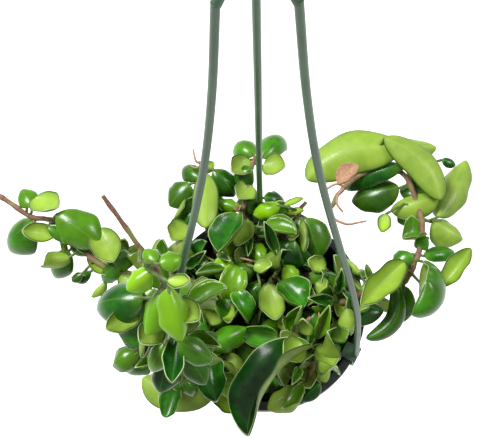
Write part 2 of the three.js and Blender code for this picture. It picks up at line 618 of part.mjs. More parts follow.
// Pairs of small leaves low on the stem, with their headings, sizes and forms drawn from a seed.
function undergrowth(line, seed) {
  const draw = draws(seed);
  const leaves = [];
  let travelled = 0;
  for (let i = 1; i < line.length; i += 1) {
    travelled += line[i].distanceTo(line[i - 1]);
    if (travelled < UNDER_STEP) continue;
    travelled = 0;
    for (let half = 0; half < 2; half += 1) {
      const azimuth = 360 * draw();
      const elevation = -20 + 50 * draw();
      const roll = 180 * Math.floor(1.5 * draw()) + 60 * (draw() - 0.5);
      const length = 16 + 11 * draw();
      const width = length * (0.75 + 0.3 * draw());
      const form = UNDER_FORMS[Math.floor(UNDER_FORMS.length * draw())];
      const young = draw() ** 2;
      const p = line[i];
      const offset = 1.5 + 2.5 * draw();
      const x = p.x + offset * Math.cos(rad(azimuth));
      const y = p.y + offset * Math.sin(rad(azimuth));
      if (Math.hypot(x, y) > UNDER_REACH || p.z < SOIL_TOP + 4 || p.z > UNDER_TOP) continue;
      leaves.push([x, y, p.z, azimuth, elevation, roll, length, width, form, young]);
    }
  }
  return leaves;
}

// ---- the pot ------------------------------------------------------------------------------------
const innerRadius = RIM_RADIUS - RIM_WIDTH;
const outerRadius = innerRadius + POT_WALL;

function lathe(profile) {
  const outline = profile.map(([r, z]) => new THREE.Vector2(r, z));
  const geometry = new THREE.LatheGeometry(outline, ROUND_SIDES);
  geometry.rotateX(Math.PI / 2);
  return geometry;
}

function potWallRadius(z) {
  const inside = POT_BASE_RADIUS - POT_WALL;
  return inside + ((innerRadius - inside) * (z + POT_HEIGHT)) / POT_HEIGHT;
}

let pot = solidOf(lathe([
  [0, -POT_HEIGHT],
  [POT_BASE_RADIUS, -POT_HEIGHT],
  [outerRadius, -POT_WALL],
  [RIM_RADIUS - POT_WALL, -POT_WALL],
  [RIM_RADIUS - POT_WALL, -RIM_SKIRT],
  [RIM_RADIUS, -RIM_SKIRT],
  [RIM_RADIUS, 0],
  [innerRadius, 0],
  [potWallRadius(-POT_HEIGHT + POT_FLOOR), -POT_HEIGHT + POT_FLOOR],
  [0, -POT_HEIGHT + POT_FLOOR]
]));
for (let i = 0; i < DRAIN_HOLES; i += 1) {
  const turn = (2 * Math.PI * i) / DRAIN_HOLES;
  const drill = new THREE.CylinderGeometry(DRAIN_HOLE_RADIUS, DRAIN_HOLE_RADIUS, 4 * POT_FLOOR, 10);
  drill.rotateX(Math.PI / 2);
  drill.translate(
    DRAIN_CIRCLE_RADIUS * Math.cos(turn),
    DRAIN_CIRCLE_RADIUS * Math.sin(turn),
    -POT_HEIGHT
  );
  pot = pot.subtract(solidOf(drill));
}
place('pot', settled(pot), 0x1d2526, 0.45);

// ---- the soil, with a plain hole for each stem --------------------------------------------------
const soilFloor = -POT_HEIGHT + POT_FLOOR + GAP;
const soilGeometry = lathe([
  [0, soilFloor],
  [potWallRadius(soilFloor) - GAP, soilFloor],
  [potWallRadius(SOIL_TOP) - GAP, SOIL_TOP],
  [36, SOIL_TOP],
  [18, SOIL_TOP],
  [0, SOIL_TOP]
]);
const soilPoints = soilGeometry.attributes.position;
for (let i = 0; i < soilPoints.count; i += 1) {
  const x = soilPoints.getX(i);
  const y = soilPoints.getY(i);
  if (Math.abs(soilPoints.getZ(i) - SOIL_TOP) > 0.01 || Math.hypot(x, y) > 45) continue;
  soilPoints.setZ(i, SOIL_TOP + SOIL_LUMP * Math.sin(0.31 * x + 1) * Math.cos(0.27 * y));
}
let soil = solidOf(soilGeometry);

// ---- the hanger ---------------------------------------------------------------------------------
// One moulding: a hook, a hub, three legs that bow outwards, and a clip over the rim on each leg.
const LEG_PROFILE = [[57.8, 1.2], [54.8, 36], [50.5, 73], [43.7, 109], [35.3, 145], [26.7, 182],
  [19.5, 218], [14.4, 254], [10.8, SHOULDER_HEIGHT]];
const LEG_FOOT_RADIUS = 1.7;
const LEG_TOP_RADIUS = 1.2;
const LEG_AZIMUTHS = [-30, 90, 210];
const ROD_SIDES = 6;

function block(r0, r1, half, z0, z1) {
  const box = new THREE.BoxGeometry(r1 - r0, 2 * half, z1 - z0);
  return solidOf(box.translate((r0 + r1) / 2, 0, (z0 + z1) / 2));
}

function clip() {
  const half = CLIP_WIDTH / 2;
  const outside = RIM_RADIUS + GAP;
  const top = GAP + CLIP_THICKNESS;
  const under = -RIM_SKIRT - GAP;
  const foot = under - CLIP_THICKNESS;
  const flat = Math.cos(Math.PI / ROUND_SIDES);
  const corner = 0.3;
  const tongueTop = innerRadius * flat - GAP - corner;
  const tongueFoot = potWallRadius(-CLIP_DEPTH) * flat - GAP - corner;
  const bridge = block(tongueTop - CLIP_THICKNESS, outside + CLIP_THICKNESS, half, GAP, top);
  const jaw = block(outside, outside + CLIP_THICKNESS, half, foot, top);
  const catchLip = block(RIM_RADIUS - POT_WALL, outside + CLIP_THICKNESS, half, foot, under);
  const ring = (z, r) => [
    vec(r - CLIP_THICKNESS, -half, z),
    vec(r, -half, z),
    vec(r, half, z),
    vec(r - CLIP_THICKNESS, half, z)
  ];
  const tongue = solidOf(loft([ring(-CLIP_DEPTH, tongueFoot), ring(top, tongueTop)]));
  return bridge.add(jaw).add(catchLip).add(tongue);
}

function hangerLeg() {
  const knots = LEG_PROFILE.map(([r, z]) => vec(r, 0, z));
  const leg = rod(smoothLine(knots, 1), LEG_FOOT_RADIUS, LEG_TOP_RADIUS, ROD_SIDES, vec(0, 1, 0));
  const shoulder = vec(10.8, 0, SHOULDER_HEIGHT - 1);
  const arm = [shoulder, vec(5, 0, 0.6 * HUB_HEIGHT + 0.4 * SHOULDER_HEIGHT), vec(0, 0, HUB_HEIGHT + 2)];
  const brace = rod(arm, LEG_TOP_RADIUS + 0.2, LEG_FOOT_RADIUS, ROD_SIDES, vec(0, 1, 0));
  return solidOf(leg).add(solidOf(brace)).add(clip());
}

function hook() {
  const bow = [-50, -20, 10, 40, 65, 90, 115, 140, 170, 200].map((turn) => vec(
    HOOK_RADIUS * Math.cos(rad(turn)),
    0,
    HOOK_CENTRE + HOOK_RADIUS * Math.sin(rad(turn))
  ));
  const shank = [vec(0, 0, HUB_HEIGHT), vec(0.3, 0, HUB_HEIGHT + 7), vec(2.6, 0, HUB_HEIGHT + 12)];
  const line = smoothLine([...shank, ...bow], 1);
  return solidOf(rod(line, HOOK_ROD, HOOK_ROD, ROD_SIDES, vec(0, 1, 0)));
}

const hub = new THREE.CylinderGeometry(HUB_RADIUS / 2, HUB_RADIUS, 8, 16);
hub.rotateX(Math.PI / 2);
hub.translate(0, 0, HUB_HEIGHT + 1);
let hanger = solidOf(hub).add(hook());
for (const azimuth of LEG_AZIMUTHS) {
  hanger = hanger.add(hangerLeg().rotate([0, 0, azimuth]));
}
place('hanger', settled(hanger), 0x5f8572, 0.5);

// ---- the vines ----------------------------------------------------------------------------------
// The longest leaves are grown first. One that would cross another vine's leaf or stem, the pot, the
// soil or the hanger is drawn smaller, and left out if that is not enough.
const SHRINK_STEPS = [1, 0.85, 0.72, 0.6];
const grown = [];

function meeting(solid, candidates, part) {
  const box = solid.boundingBox();
  return candidates.some((other) => {
    const apart = [0, 1, 2].some((k) => box.min[k] > other.box.max[k] || other.box.min[k] > box.max[k]);
    return !apart && other[part] !== null && solid.intersect(other[part]).volume() > 0;
  });
}

function meetsOthers(solid, owner) {
  return meeting(solid, grown.filter((other) => other.owner !== owner), 'solid');
}

function meetsOwn(solid, owner) {
  return meeting(solid, grown.filter((other) => other.owner === owner), 'blade');
}

function keep(solid, owner, blade = null) {
  grown.push({ solid, owner, blade, box: solid.boundingBox() });
}

const lines = VINES.map((vine) => smoothLine(vine.route.map((p) => vec(...p)), 1));
const stems = VINES.map((vine, i) => {
  const [root, end] = vine.thick;
  return solidOf(rod(lines[i], root / 2, end / 2, STEM_SIDES, vec(0.31, 0.17, 0.93)));
});
VINES.forEach((vine) => {
  const [x, y] = vine.route[0];
  const radius = vine.thick[0] / 2 + GAP;
  const hole = new THREE.CylinderGeometry(radius, radius, 2 * (ROOT_DEPTH + GAP), 8);
  hole.rotateX(Math.PI / 2);
  hole.translate(x, y, SOIL_TOP);
  soil = soil.subtract(solidOf(hole));
});
place('soil', settled(soil), 0x2a211a, 0.95);
keep(soil, 'soil');
keep(pot, 'pot');
keep(hanger, 'hanger');
VINES.forEach((vine, i) => keep(stems[i], vine.name));

function grow(vine, line, leaf) {
  for (const apartFromOwn of [true, false]) {
    for (const scale of SHRINK_STEPS) {
      const sized = [...leaf];
      sized[6] *= scale;
      sized[7] *= scale;
      const bladeAlone = leafBlade(sized, line, 2 * GAP, true);
      if (meetsOthers(leafBlade(sized, line, 2 * GAP), vine.name)) continue;
      if (apartFromOwn && meetsOwn(bladeAlone, vine.name)) continue;
      const solid = leafBlade(sized, line, 0);
      keep(solid, vine.name, leafBlade(sized, line, 0, true));
      return solid;
    }
  }
  return null;
}

const leafSolids = VINES.map(() => []);
const order = VINES.flatMap((vine, i) => vine.leaves.map((row) => [vine, i, readLeaf(row)]));
order.sort((a, b) => b[2][6] - a[2][6]);
for (const [vine, i, leaf] of order) leafSolids[i].push(grow(vine, lines[i], leaf));
VINES.forEach((vine, i) => {
  for (const leaf of undergrowth(lines[i], 11 + i)) leafSolids[i].push(grow(vine, lines[i], leaf));
});
const wholes = VINES.map((vine, i) => {
  const pieces = leafSolids[i].filter((solid) => solid !== null);
  const whole = wasm.Manifold.union([stems[i], ...pieces]);
  const choices = SLIVERS.map((sliver) => settled(whole.simplify(sliver)));
  return choices.find(hasPlainEdges) ?? choices[0];
});
VINES.forEach((vine, i) => place(vine.name, wholes[i], 0x2f7d1c, 0.35));
export default group;
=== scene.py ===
# A compact, curled-leaf hoya in a black nursery pot, hung from a three-legged plastic hanger.
# Blender 4.5, metres. The origin is the point of the hook that bears on what the plant hangs from,
# +X is to the right and +Y is away, as the plant is seen. Tables and sections are in millimetres
# from the centre of the pot's rim plane, and are scaled and lowered as each mesh is made.

import math
import random

import bmesh
import bpy
import numpy as np
from mathutils import Matrix, Vector
from mathutils.bvhtree import BVHTree


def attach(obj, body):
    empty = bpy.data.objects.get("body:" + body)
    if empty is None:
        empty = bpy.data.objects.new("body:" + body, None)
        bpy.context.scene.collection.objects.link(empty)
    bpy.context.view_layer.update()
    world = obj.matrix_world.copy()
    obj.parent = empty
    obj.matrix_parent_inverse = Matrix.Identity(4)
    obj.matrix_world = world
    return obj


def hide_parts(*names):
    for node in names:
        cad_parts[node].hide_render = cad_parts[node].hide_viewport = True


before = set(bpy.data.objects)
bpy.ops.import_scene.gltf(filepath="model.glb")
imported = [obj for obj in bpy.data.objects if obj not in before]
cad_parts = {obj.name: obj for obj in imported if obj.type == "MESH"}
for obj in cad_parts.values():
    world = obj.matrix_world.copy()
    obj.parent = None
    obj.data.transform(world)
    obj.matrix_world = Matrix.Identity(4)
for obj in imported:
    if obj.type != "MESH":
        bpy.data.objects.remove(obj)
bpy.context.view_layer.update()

# ---- camera -----------------------------------------------------------------------------------------
# The plant is seen from steeply above, about 0.45 m away, with the hook above the picture's edge.
MM = 0.001
BEARING_HEIGHT = 330.8             # the hook's bearing point above the rim plane
CAMERA_PLACE = (-1.264, -115.241, 440.081)
CAMERA_RIGHT = (0.99946, -0.02553, -0.02077)
CAMERA_UP = (0.03127, 0.93349, 0.35724)
CAMERA_LENS = 57.63
SENSOR_WIDTH = 36.0


def in_metres(points):
    """Millimetres from the rim plane's centre to metres from the hook's bearing point."""
    return (np.asarray(points, dtype=float) - (0.0, 0.0, BEARING_HEIGHT)) * MM


def shown(name, data):
    """An object for a mesh, a curve, a light or a camera, put in the scene."""
    thing = bpy.data.objects.new(name, data)
    bpy.context.scene.collection.objects.link(thing)
    return thing


camera = shown("camera", bpy.data.cameras.new("camera"))
camera.data.lens = CAMERA_LENS
camera.data.sensor_width = SENSOR_WIDTH
camera.data.clip_start = 0.01
camera.data.clip_end = 20.0
right, up = Vector(CAMERA_RIGHT).normalized(), Vector(CAMERA_UP).normalized()
back = right.cross(up).normalized()
up = back.cross(right)
turned = Matrix((right, up, back)).transposed().to_4x4()
camera.matrix_world = Matrix.Translation(Vector(in_metres(CAMERA_PLACE))) @ turned
bpy.context.scene.camera = camera

# ---- the room: floor and light ----------------------------------------------------------------------
# A plain white floor half a metre under the pot, so that the hanging plant throws next to no shadow
# on it, under a broad soft light from the left and a weaker one from behind on the right.
POT_HEIGHT = 88.0
FLOOR_DROP = 500.0
FLOOR_REACH = 9.0                  # metres
AIR_COLOUR = (1.0, 0.98, 0.93, 1.0)
AIR_STRENGTH = 0.36
PLANT_MIDDLE = (0.0, 0.02, -0.33)  # metres


def linear(hex_colour):
    """An sRGB hex colour such as "5f8572" as linear red, green, blue and alpha."""
    parts = [int(hex_colour[i:i + 2], 16) / 255 for i in (0, 2, 4)]
    low = [c / 12.92 if c <= 0.04045 else ((c + 0.055) / 1.055) ** 2.4 for c in parts]
    return (*low, 1.0)


def add(tree, kind, links=(), values=(), **settings):
    """A node with its settings, its inputs' values by name or number, and its links."""
    node = tree.nodes.new(kind)
    for key, value in settings.items():
        setattr(node, key, value)
    for key, value in dict(values).items():
        node.inputs[key].default_value = value
    for key, socket in dict(links).items():
        tree.links.new(socket, node.inputs[key])
    return node


def new_material(name):
    """A node material with nothing in it, as (material, its tree)."""
    material = bpy.data.materials.new(name)
    material.use_nodes = True
    material.node_tree.nodes.clear()
    return material, material.node_tree


def surfaced(tree, links, values):
    """Ends a material's tree in one surface."""
    shader = add(tree, "ShaderNodeBsdfPrincipled", links, values)
    add(tree, "ShaderNodeOutputMaterial", {"Surface": shader.outputs["BSDF"]})


def new_object(name, points, faces, smooth=True, metres=False):
    """A mesh object with its place in its mesh."""
    mesh = bpy.data.meshes.new(name)
    placed = np.asarray(points, dtype=float) if metres else in_metres(points)
    mesh.from_pydata([tuple(p) for p in placed], [], [tuple(f) for f in faces])
    mesh.validate()
    mesh.update()
    mesh.shade_smooth() if smooth else mesh.shade_flat()
    return shown(name, mesh)


floor_height = -(BEARING_HEIGHT + POT_HEIGHT + FLOOR_DROP) * MM
corners = [(x * FLOOR_REACH, y * FLOOR_REACH, floor_height)
           for x, y in ((-1, -1), (1, -1), (1, 1), (-1, 1))]
floor = new_object("floor", corners, [(0, 1, 2, 3)], metres=True)
painted, tree = new_material("white_painted_board")
surfaced(tree, {}, {"Base Color": linear("ffffff"), "Roughness": 0.9,
                    "Emission Color": linear("ffffff"), "Emission Strength": 0.5})
floor.data.materials.append(painted)

world = bpy.data.worlds.new("studio")
bpy.context.scene.world = world
world.use_nodes = True
world.node_tree.nodes["Background"].inputs["Color"].default_value = AIR_COLOUR
world.node_tree.nodes["Background"].inputs["Strength"].default_value = AIR_STRENGTH


def soft_light(name, place, size, power):
    """A square area light that faces the middle of the plant; metres and watts."""
    light = shown(name, bpy.data.lights.new(name, "AREA"))
    light.data.shape = "SQUARE"
    light.data.size = size
    light.data.energy = power
    way = (Vector(PLANT_MIDDLE) - Vector(place)).to_track_quat("-Z", "Y")
    light.matrix_world = Matrix.Translation(place) @ way.to_matrix().to_4x4()


soft_light("left_light", (-0.8, 0.5, 1.1), 0.6, 34.0)
soft_light("right_fill", (1.1, 0.3, 0.9), 0.5, 11.0)
bpy.context.scene.view_settings.view_transform = "Standard"

# ---- pot --------------------------------------------------------------------------------------------
# A round, tapered nursery pot of black polypropylene, injection moulded in one thin-walled piece with
# a turned-down rim, a flat floor and a ring of drain holes.
RIM_RADIUS = 57.5
RIM_WIDTH = 5.0
RIM_SKIRT = 7.0
RIM_ROUNDING = 0.9
POT_WALL = 1.3
POT_FLOOR = 1.6
POT_BASE_RADIUS = 40.0
DRAIN_HOLES = 6
DRAIN_HOLE_RADIUS = 4.0
DRAIN_CIRCLE_RADIUS = 27.0
POT_SIDES = 144
HOLE_SIDES = 28
WELD = 1e-7                         # metres; points closer than this are one
CREASE = math.radians(40)           # edges sharper than this stay crisp
POT_GRAIN = 0.35                    # the mould's fine spark-eroded grain
POT_DUST = 9.0                      # between the dusty patches
inner_radius = RIM_RADIUS - RIM_WIDTH


def wall_radius(z):
    """The inside of the pot's wall at a height, as the solid has it."""
    inside = POT_BASE_RADIUS - POT_WALL
    return inside + (inner_radius - inside) * (z + POT_HEIGHT) / POT_HEIGHT


def rounded(corners, radius, steps=4):
    """A closed outline with each corner cut back and rounded; a corner on the axis stays sharp."""
    outline = []
    for i, corner in enumerate(corners):
        here = np.array(corner, dtype=float)
        before = np.array(corners[i - 1]) - here
        after = np.array(corners[(i + 1) % len(corners)]) - here
        if here[0] == 0.0:
            outline.append(here)
            continue
        cut = min(radius, 0.45 * np.linalg.norm(before), 0.45 * np.linalg.norm(after))
        start = here + cut * before / np.linalg.norm(before)
        end = here + cut * after / np.linalg.norm(after)
        for k in range(steps + 1):
            t = k / steps
            outline.append((1 - t) ** 2 * start + 2 * t * (1 - t) * here + t ** 2 * end)
    return outline


def circle(radius, sides):
    """Points round the axis."""
    turns = [2 * math.pi * j / sides for j in range(sides)]
    return [(radius * math.cos(turn), radius * math.sin(turn)) for turn in turns]


def lathed(name, outline, sides):
    """A closed body of revolution from an outline whose first and last points are on the axis."""
    rings = outline[1:-1]
    points = [(x, y, z) for radius, z in rings for x, y in circle(radius, sides)]
    first, last = len(points), len(points) + 1
    points += [(0, 0, outline[0][1]), (0, 0, outline[-1][1])]
    faces = []
    for i in range(len(rings) - 1):
        for j in range(sides):
            a, b = i * sides + j, i * sides + (j + 1) % sides
            faces.append((a, b, b + sides, a + sides))
    top = (len(rings) - 1) * sides
    for j in range(sides):
        k = (j + 1) % sides
        faces.append((first, k, j))
        faces.append((last, top + j, top + k))
    return new_object(name, points, faces)


def prism(ring, far_ring, shift=0):
    """The points and faces of a closed prism between two rings, numbered from shift."""
    count = len(ring)
    faces = [tuple(range(count)), tuple(reversed(range(count, 2 * count)))]
    faces += [(i, i + count, (i + 1) % count + count, (i + 1) % count) for i in range(count)]
    return [*ring, *far_ring], [tuple(shift + k for k in face) for face in faces]


def faced_out(mesh):
    """Merges a closed mesh's doubled points and turns its faces to point outwards."""
    work = bmesh.new()
    work.from_mesh(mesh)
    bmesh.ops.remove_doubles(work, verts=work.verts, dist=WELD)
    bmesh.ops.recalc_face_normals(work, faces=work.faces)
    work.to_mesh(mesh)
    work.free()


def evaluated(thing):
    """The object with its modifiers' result as its plain mesh."""
    graph = bpy.context.evaluated_depsgraph_get()
    mesh = bpy.data.meshes.new_from_object(thing.evaluated_get(graph))
    thing.modifiers.clear()
    old = thing.data
    thing.data = mesh
    bpy.data.meshes.remove(old)
    return thing


def noise(tree, size, detail, roughness=0.5):
    """A cloudy pattern on a piece, with its clouds size mm apart."""
    place = add(tree, "ShaderNodeTexCoord").outputs["Object"]
    return add(tree, "ShaderNodeTexNoise", {"Vector": place},
               {"Scale": 1 / (size * MM), "Detail": detail, "Roughness": roughness}).outputs["Fac"]


def mapped(tree, value, from_low, from_high, to_low=0.0, to_high=1.0):
    """A value with its range stretched to another range, and held at its ends."""
    limits = {"From Min": from_low, "From Max": from_high, "To Min": to_low, "To Max": to_high}
    return add(tree, "ShaderNodeMapRange", {"Value": value}, limits).outputs[0]


def mixed(tree, share, a, b):
    """A colour between two, each a socket or an sRGB hex."""
    node = add(tree, "ShaderNodeMix", data_type="RGBA")
    for key, value in ((0, share), (6, a), (7, b)):
        if isinstance(value, str):
            node.inputs[key].default_value = linear(value)
        else:
            tree.links.new(value, node.inputs[key])
    return node.outputs[2]


def two_tones(tree, pattern, low, high, dark, light):
    """A colour that goes from dark to light as a pattern goes from low to high."""
    return mixed(tree, mapped(tree, pattern, low, high), dark, light)


def bumped(tree, pattern, strength, depth):
    """The surface's lie where a pattern raises it by up to depth mm."""
    values = {"Strength": strength, "Distance": depth * MM}
    return add(tree, "ShaderNodeBump", {"Height": pattern}, values).outputs["Normal"]


pot_corners = [
    (0, -POT_HEIGHT),
    (POT_BASE_RADIUS, -POT_HEIGHT),
    (inner_radius + POT_WALL, -POT_WALL),
    (RIM_RADIUS - POT_WALL, -POT_WALL),
    (RIM_RADIUS - POT_WALL, -RIM_SKIRT),
    (RIM_RADIUS, -RIM_SKIRT),
    (RIM_RADIUS, 0),
    (inner_radius, 0),
    (wall_radius(-POT_HEIGHT + POT_FLOOR), -POT_HEIGHT + POT_FLOOR),
    (0, -POT_HEIGHT + POT_FLOOR),
]
pot = lathed("moulded_pot", rounded(pot_corners, RIM_ROUNDING), POT_SIDES)
drill_points, drill_faces = [], []
for centre_x, centre_y in circle(DRAIN_CIRCLE_RADIUS, DRAIN_HOLES):
    hole = [(centre_x + x, centre_y + y) for x, y in circle(DRAIN_HOLE_RADIUS, HOLE_SIDES)]
    low, high = -POT_HEIGHT - 3 * POT_FLOOR, -POT_HEIGHT + 3 * POT_FLOOR
    points, faces = prism([(*p, low) for p in hole], [(*p, high) for p in hole], len(drill_points))
    drill_points += points
    drill_faces += faces
drill = new_object("drill", drill_points, drill_faces, smooth=False)
faced_out(drill.data)
cut = pot.modifiers.new("drain_holes", "BOOLEAN")
cut.operation = "DIFFERENCE"
cut.solver = "EXACT"
cut.object = drill
pot = evaluated(pot)
bpy.data.objects.remove(drill)
pot.data.set_sharp_from_angle(angle=CREASE)

# Moulded polypropylene: a soft satin black, with faint flow marks and a little dried dust and lime.
moulded, tree = new_material("moulded_black_polypropylene")
dust = noise(tree, POT_DUST, 6.0, 0.65)
surfaced(tree, {"Base Color": two_tones(tree, dust, 0.42, 0.78, "13181a", "30373a"),
                "Roughness": mapped(tree, dust, 0.0, 1.0, 0.34, 0.6),
                "Normal": bumped(tree, noise(tree, POT_GRAIN, 2.0), 0.25, 0.04)}, {"IOR": 1.49})
pot.data.materials.clear()
pot.data.materials.append(moulded)
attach(pot, "root")
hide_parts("pot")

# ---- soil -------------------------------------------------------------------------------------------
# The root ball: peat with bark crumbs, pressed into the pot and sunk a little below the rim, with
# its surface loosened by watering and crumbs of bark strewn over it.
SOIL_TOP = -12.0
SOIL_GAP = 0.35
SOIL_BEVEL = 1.5
SOIL_RINGS = 34
SOIL_SIDES = 96
CRUMB_COUNT = 1500
CRUMB_SIZE = 1.7                    # across
CRUMB_LEAST = (0.25, 0.35, 0.2)     # a crumb's size along x, y and z beside the size above
CRUMB_MOST = (1.3, 0.9, 0.5)
CRUMB_SEED = 7
FACING_UP = 0.8                     # the upward share of a face's normal where crumbs lie
CLOD_SIZE = 2.2                     # the peat's clods
FLECK_SIZE = 3.5                    # the bark's darker and lighter flecks


def soil_height(x, y):
    """The soil's surface, which rises and falls by about a millimetre."""
    broad = 0.8 * math.sin(0.31 * x + 1) * math.cos(0.27 * y)
    return SOIL_TOP + broad + 0.35 * math.sin(1.3 * x + 0.4 * y) * math.sin(1.1 * y - 0.5 * x)


soil_floor = -POT_HEIGHT + POT_FLOOR + SOIL_GAP
soil_edge = wall_radius(SOIL_TOP) - SOIL_GAP
soil_outline = [
    (0, soil_floor),
    (wall_radius(soil_floor) - SOIL_GAP, soil_floor),
    (soil_edge, SOIL_TOP - SOIL_BEVEL),
    *[(soil_edge * (1 - i / SOIL_RINGS), SOIL_TOP) for i in range(SOIL_RINGS)],
    (0, SOIL_TOP),
]
soil = lathed("potting_soil", soil_outline, SOIL_SIDES)
for vertex in soil.data.vertices:
    x, y = vertex.co.x / MM, vertex.co.y / MM
    z = vertex.co.z / MM + BEARING_HEIGHT
    if abs(z - SOIL_TOP) < 0.01 and math.hypot(x, y) < soil_edge - 0.5:
        vertex.co.z = (soil_height(x, y) - BEARING_HEIGHT) * MM

peat, tree = new_material("peat_and_bark")
clods = noise(tree, CLOD_SIZE, 8.0, 0.7)
surfaced(tree, {"Base Color": two_tones(tree, clods, 0.36, 0.74, "0d0a08", "3a2a1e"),
                "Normal": bumped(tree, clods, 0.9, 0.8)}, {"Roughness": 0.95})
bark, tree = new_material("bark_crumb")
flecks = noise(tree, FLECK_SIZE, 5.0)
surfaced(tree, {"Base Color": two_tones(tree, flecks, 0.3, 0.75, "1a120c", "5c4230")}, {"Roughness": 0.9})


def new_geometry_tree(name, **sizes):
    """A geometry node tree with one geometry in and one out, and further inputs by their kinds, as
    (tree, its group input, its group output, the further inputs' identifiers)."""
    tree = bpy.data.node_groups.new(name, "GeometryNodeTree")
    tree.interface.new_socket("Geometry", in_out="INPUT", socket_type="NodeSocketGeometry")
    keys = [tree.interface.new_socket(label, in_out="INPUT", socket_type="NodeSocket" + kind).identifier
            for label, kind in sizes.items()]
    tree.interface.new_socket("Geometry", in_out="OUTPUT", socket_type="NodeSocketGeometry")
    return tree, tree.nodes.new("NodeGroupInput"), tree.nodes.new("NodeGroupOutput"), keys


# A node tree strews the crumbs over the faces that point up; they are then part of the soil's mesh.
strewn, given, taken, keys = new_geometry_tree("strewn_crumbs", Density="Float", Size="Float")
density_key, size_key = keys
facing = add(strewn, "ShaderNodeSeparateXYZ", {"Vector": add(strewn, "GeometryNodeInputNormal").outputs[0]})
upward = add(strewn, "FunctionNodeCompare", {"A": facing.outputs["Z"]}, {"B": FACING_UP},
             operation="GREATER_THAN")
where = add(strewn, "GeometryNodeDistributePointsOnFaces",
            {"Mesh": given.outputs["Geometry"], "Selection": upward.outputs[0],
             "Density": given.outputs["Density"]}, {"Seed": CRUMB_SEED})
crumb = add(strewn, "GeometryNodeMeshIcoSphere", {"Radius": given.outputs["Size"]}, {"Subdivisions": 1})
turn = add(strewn, "FunctionNodeRandomValue", values={"Max": (6.28, 6.28, 6.28), "Seed": 0},
           data_type="FLOAT_VECTOR")
scale = add(strewn, "FunctionNodeRandomValue",
            values={"Min": CRUMB_LEAST, "Max": CRUMB_MOST, "Seed": 3}, data_type="FLOAT_VECTOR")
turned = add(strewn, "FunctionNodeEulerToRotation", {"Euler": turn.outputs[0]})
laid = add(strewn, "GeometryNodeInstanceOnPoints",
           {"Points": where.outputs["Points"], "Instance": crumb.outputs["Mesh"],
            "Rotation": turned.outputs[0], "Scale": scale.outputs[0]})
real = add(strewn, "GeometryNodeRealizeInstances", {"Geometry": laid.outputs["Instances"]})
dressed = add(strewn, "GeometryNodeSetMaterial", {"Geometry": real.outputs["Geometry"]}, {"Material": bark})
both = add(strewn, "GeometryNodeJoinGeometry", {0: given.outputs["Geometry"]})
strewn.links.new(dressed.outputs["Geometry"], both.inputs[0])
strewn.links.new(both.outputs[0], taken.inputs[0])

soil.data.materials.append(peat)
strew = soil.modifiers.new("crumbs", "NODES")
strew.node_group = strewn
strew[density_key] = CRUMB_COUNT / (math.pi * (soil_edge * MM) ** 2)
strew[size_key] = CRUMB_SIZE * MM / 2
soil = evaluated(soil)
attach(soil, "root")
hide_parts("soil")

# ---- hanger -----------------------------------------------------------------------------------------
# One injection moulding in grey-green polypropylene: a hook on a small hub, three slim legs that bow
# out from it, and at each leg's foot a clip that is sprung over the pot's rim.
SHOULDER_HEIGHT = 290.0
SHOULDER_RADIUS = 10.8
HUB_HEIGHT = 300.0
HUB_RADIUS = 6.0
HUB_DROP = 3.0                      # from the hub's height down to its underside
HUB_RISE = 5.0                      # and up to its top
HUB_ROUNDING = 0.8
HOOK_RADIUS = 10.0
HOOK_ROD = 2.2
HOOK_CENTRE = 323.0
HOOK_TURNS = (-50, -35, -20, -5, 10, 25, 40, 52, 65, 78, 90, 103, 115, 128, 140, 155, 170, 185, 200)
CLIP_WIDTH = 9.0
CLIP_DEPTH = 9.0
CLIP_THICKNESS = 1.4
CLIP_GAP = 0.35
CLIP_ROUNDING = 0.35
CLIP_CORNER = 0.3                   # the tongue stands this much off the wall's facets
LEG_PROFILE = [(57.8, 1.2), (54.8, 36), (50.5, 73), (43.7, 109), (35.3, 145), (26.7, 182),
               (19.5, 218), (14.4, 254), (SHOULDER_RADIUS, SHOULDER_HEIGHT)]
LEG_FOOT_RADIUS = 1.7
LEG_TOP_RADIUS = 1.2
ARM_RADIUS = 1.4
ARM_END_RADIUS = 1.585
LEG_AZIMUTHS = (-30, 90, 210)
LEG_STEPS = 6
ARM_STEPS = 4
ROD_SIDES = 20
HUB_SIDES = 40
HANGER_CREASE = math.radians(50)    # edges sharper than this stay crisp
WALL_FACETS = 32                    # of the solid pot's wall
FLOW_SIZE = 14.0                    # between the faint paler flow marks
HANGER_GRAIN = 0.4                  # the mould's fine grain

green_plastic, tree = new_material("moulded_green_polypropylene")
mottle = noise(tree, FLOW_SIZE, 4.0)
surfaced(tree, {"Base Color": two_tones(tree, mottle, 0.3, 0.75, "315039", "4b6f53"),
                "Roughness": mapped(tree, mottle, 0.0, 1.0, 0.3, 0.5),
                "Normal": bumped(tree, noise(tree, HANGER_GRAIN, 2.0), 0.2, 0.04)}, {"IOR": 1.49})

# A node tree turns a route with a radius at each point into a closed, round rod. The stems use it too.
rod_tree, given, taken, keys = new_geometry_tree("rod_along_route", Sides="Int", Material="Material")
sides_key, skin_key = keys
ring = add(rod_tree, "GeometryNodeCurvePrimitiveCircle", {"Resolution": given.outputs["Sides"]},
           {"Radius": 1.0})
swept = add(rod_tree, "GeometryNodeCurveToMesh",
            {"Curve": given.outputs["Geometry"], "Profile Curve": ring.outputs["Curve"],
             "Scale": add(rod_tree, "GeometryNodeInputRadius").outputs[0]}, {"Fill Caps": True})
soft = add(rod_tree, "GeometryNodeSetShadeSmooth", {"Geometry": swept.outputs["Mesh"]})
real = add(rod_tree, "GeometryNodeRealizeInstances", {"Geometry": soft.outputs["Geometry"]})
dressed = add(rod_tree, "GeometryNodeSetMaterial",
              {"Geometry": real.outputs["Geometry"], "Material": given.outputs["Material"]})
rod_tree.links.new(dressed.outputs["Geometry"], taken.inputs[0])


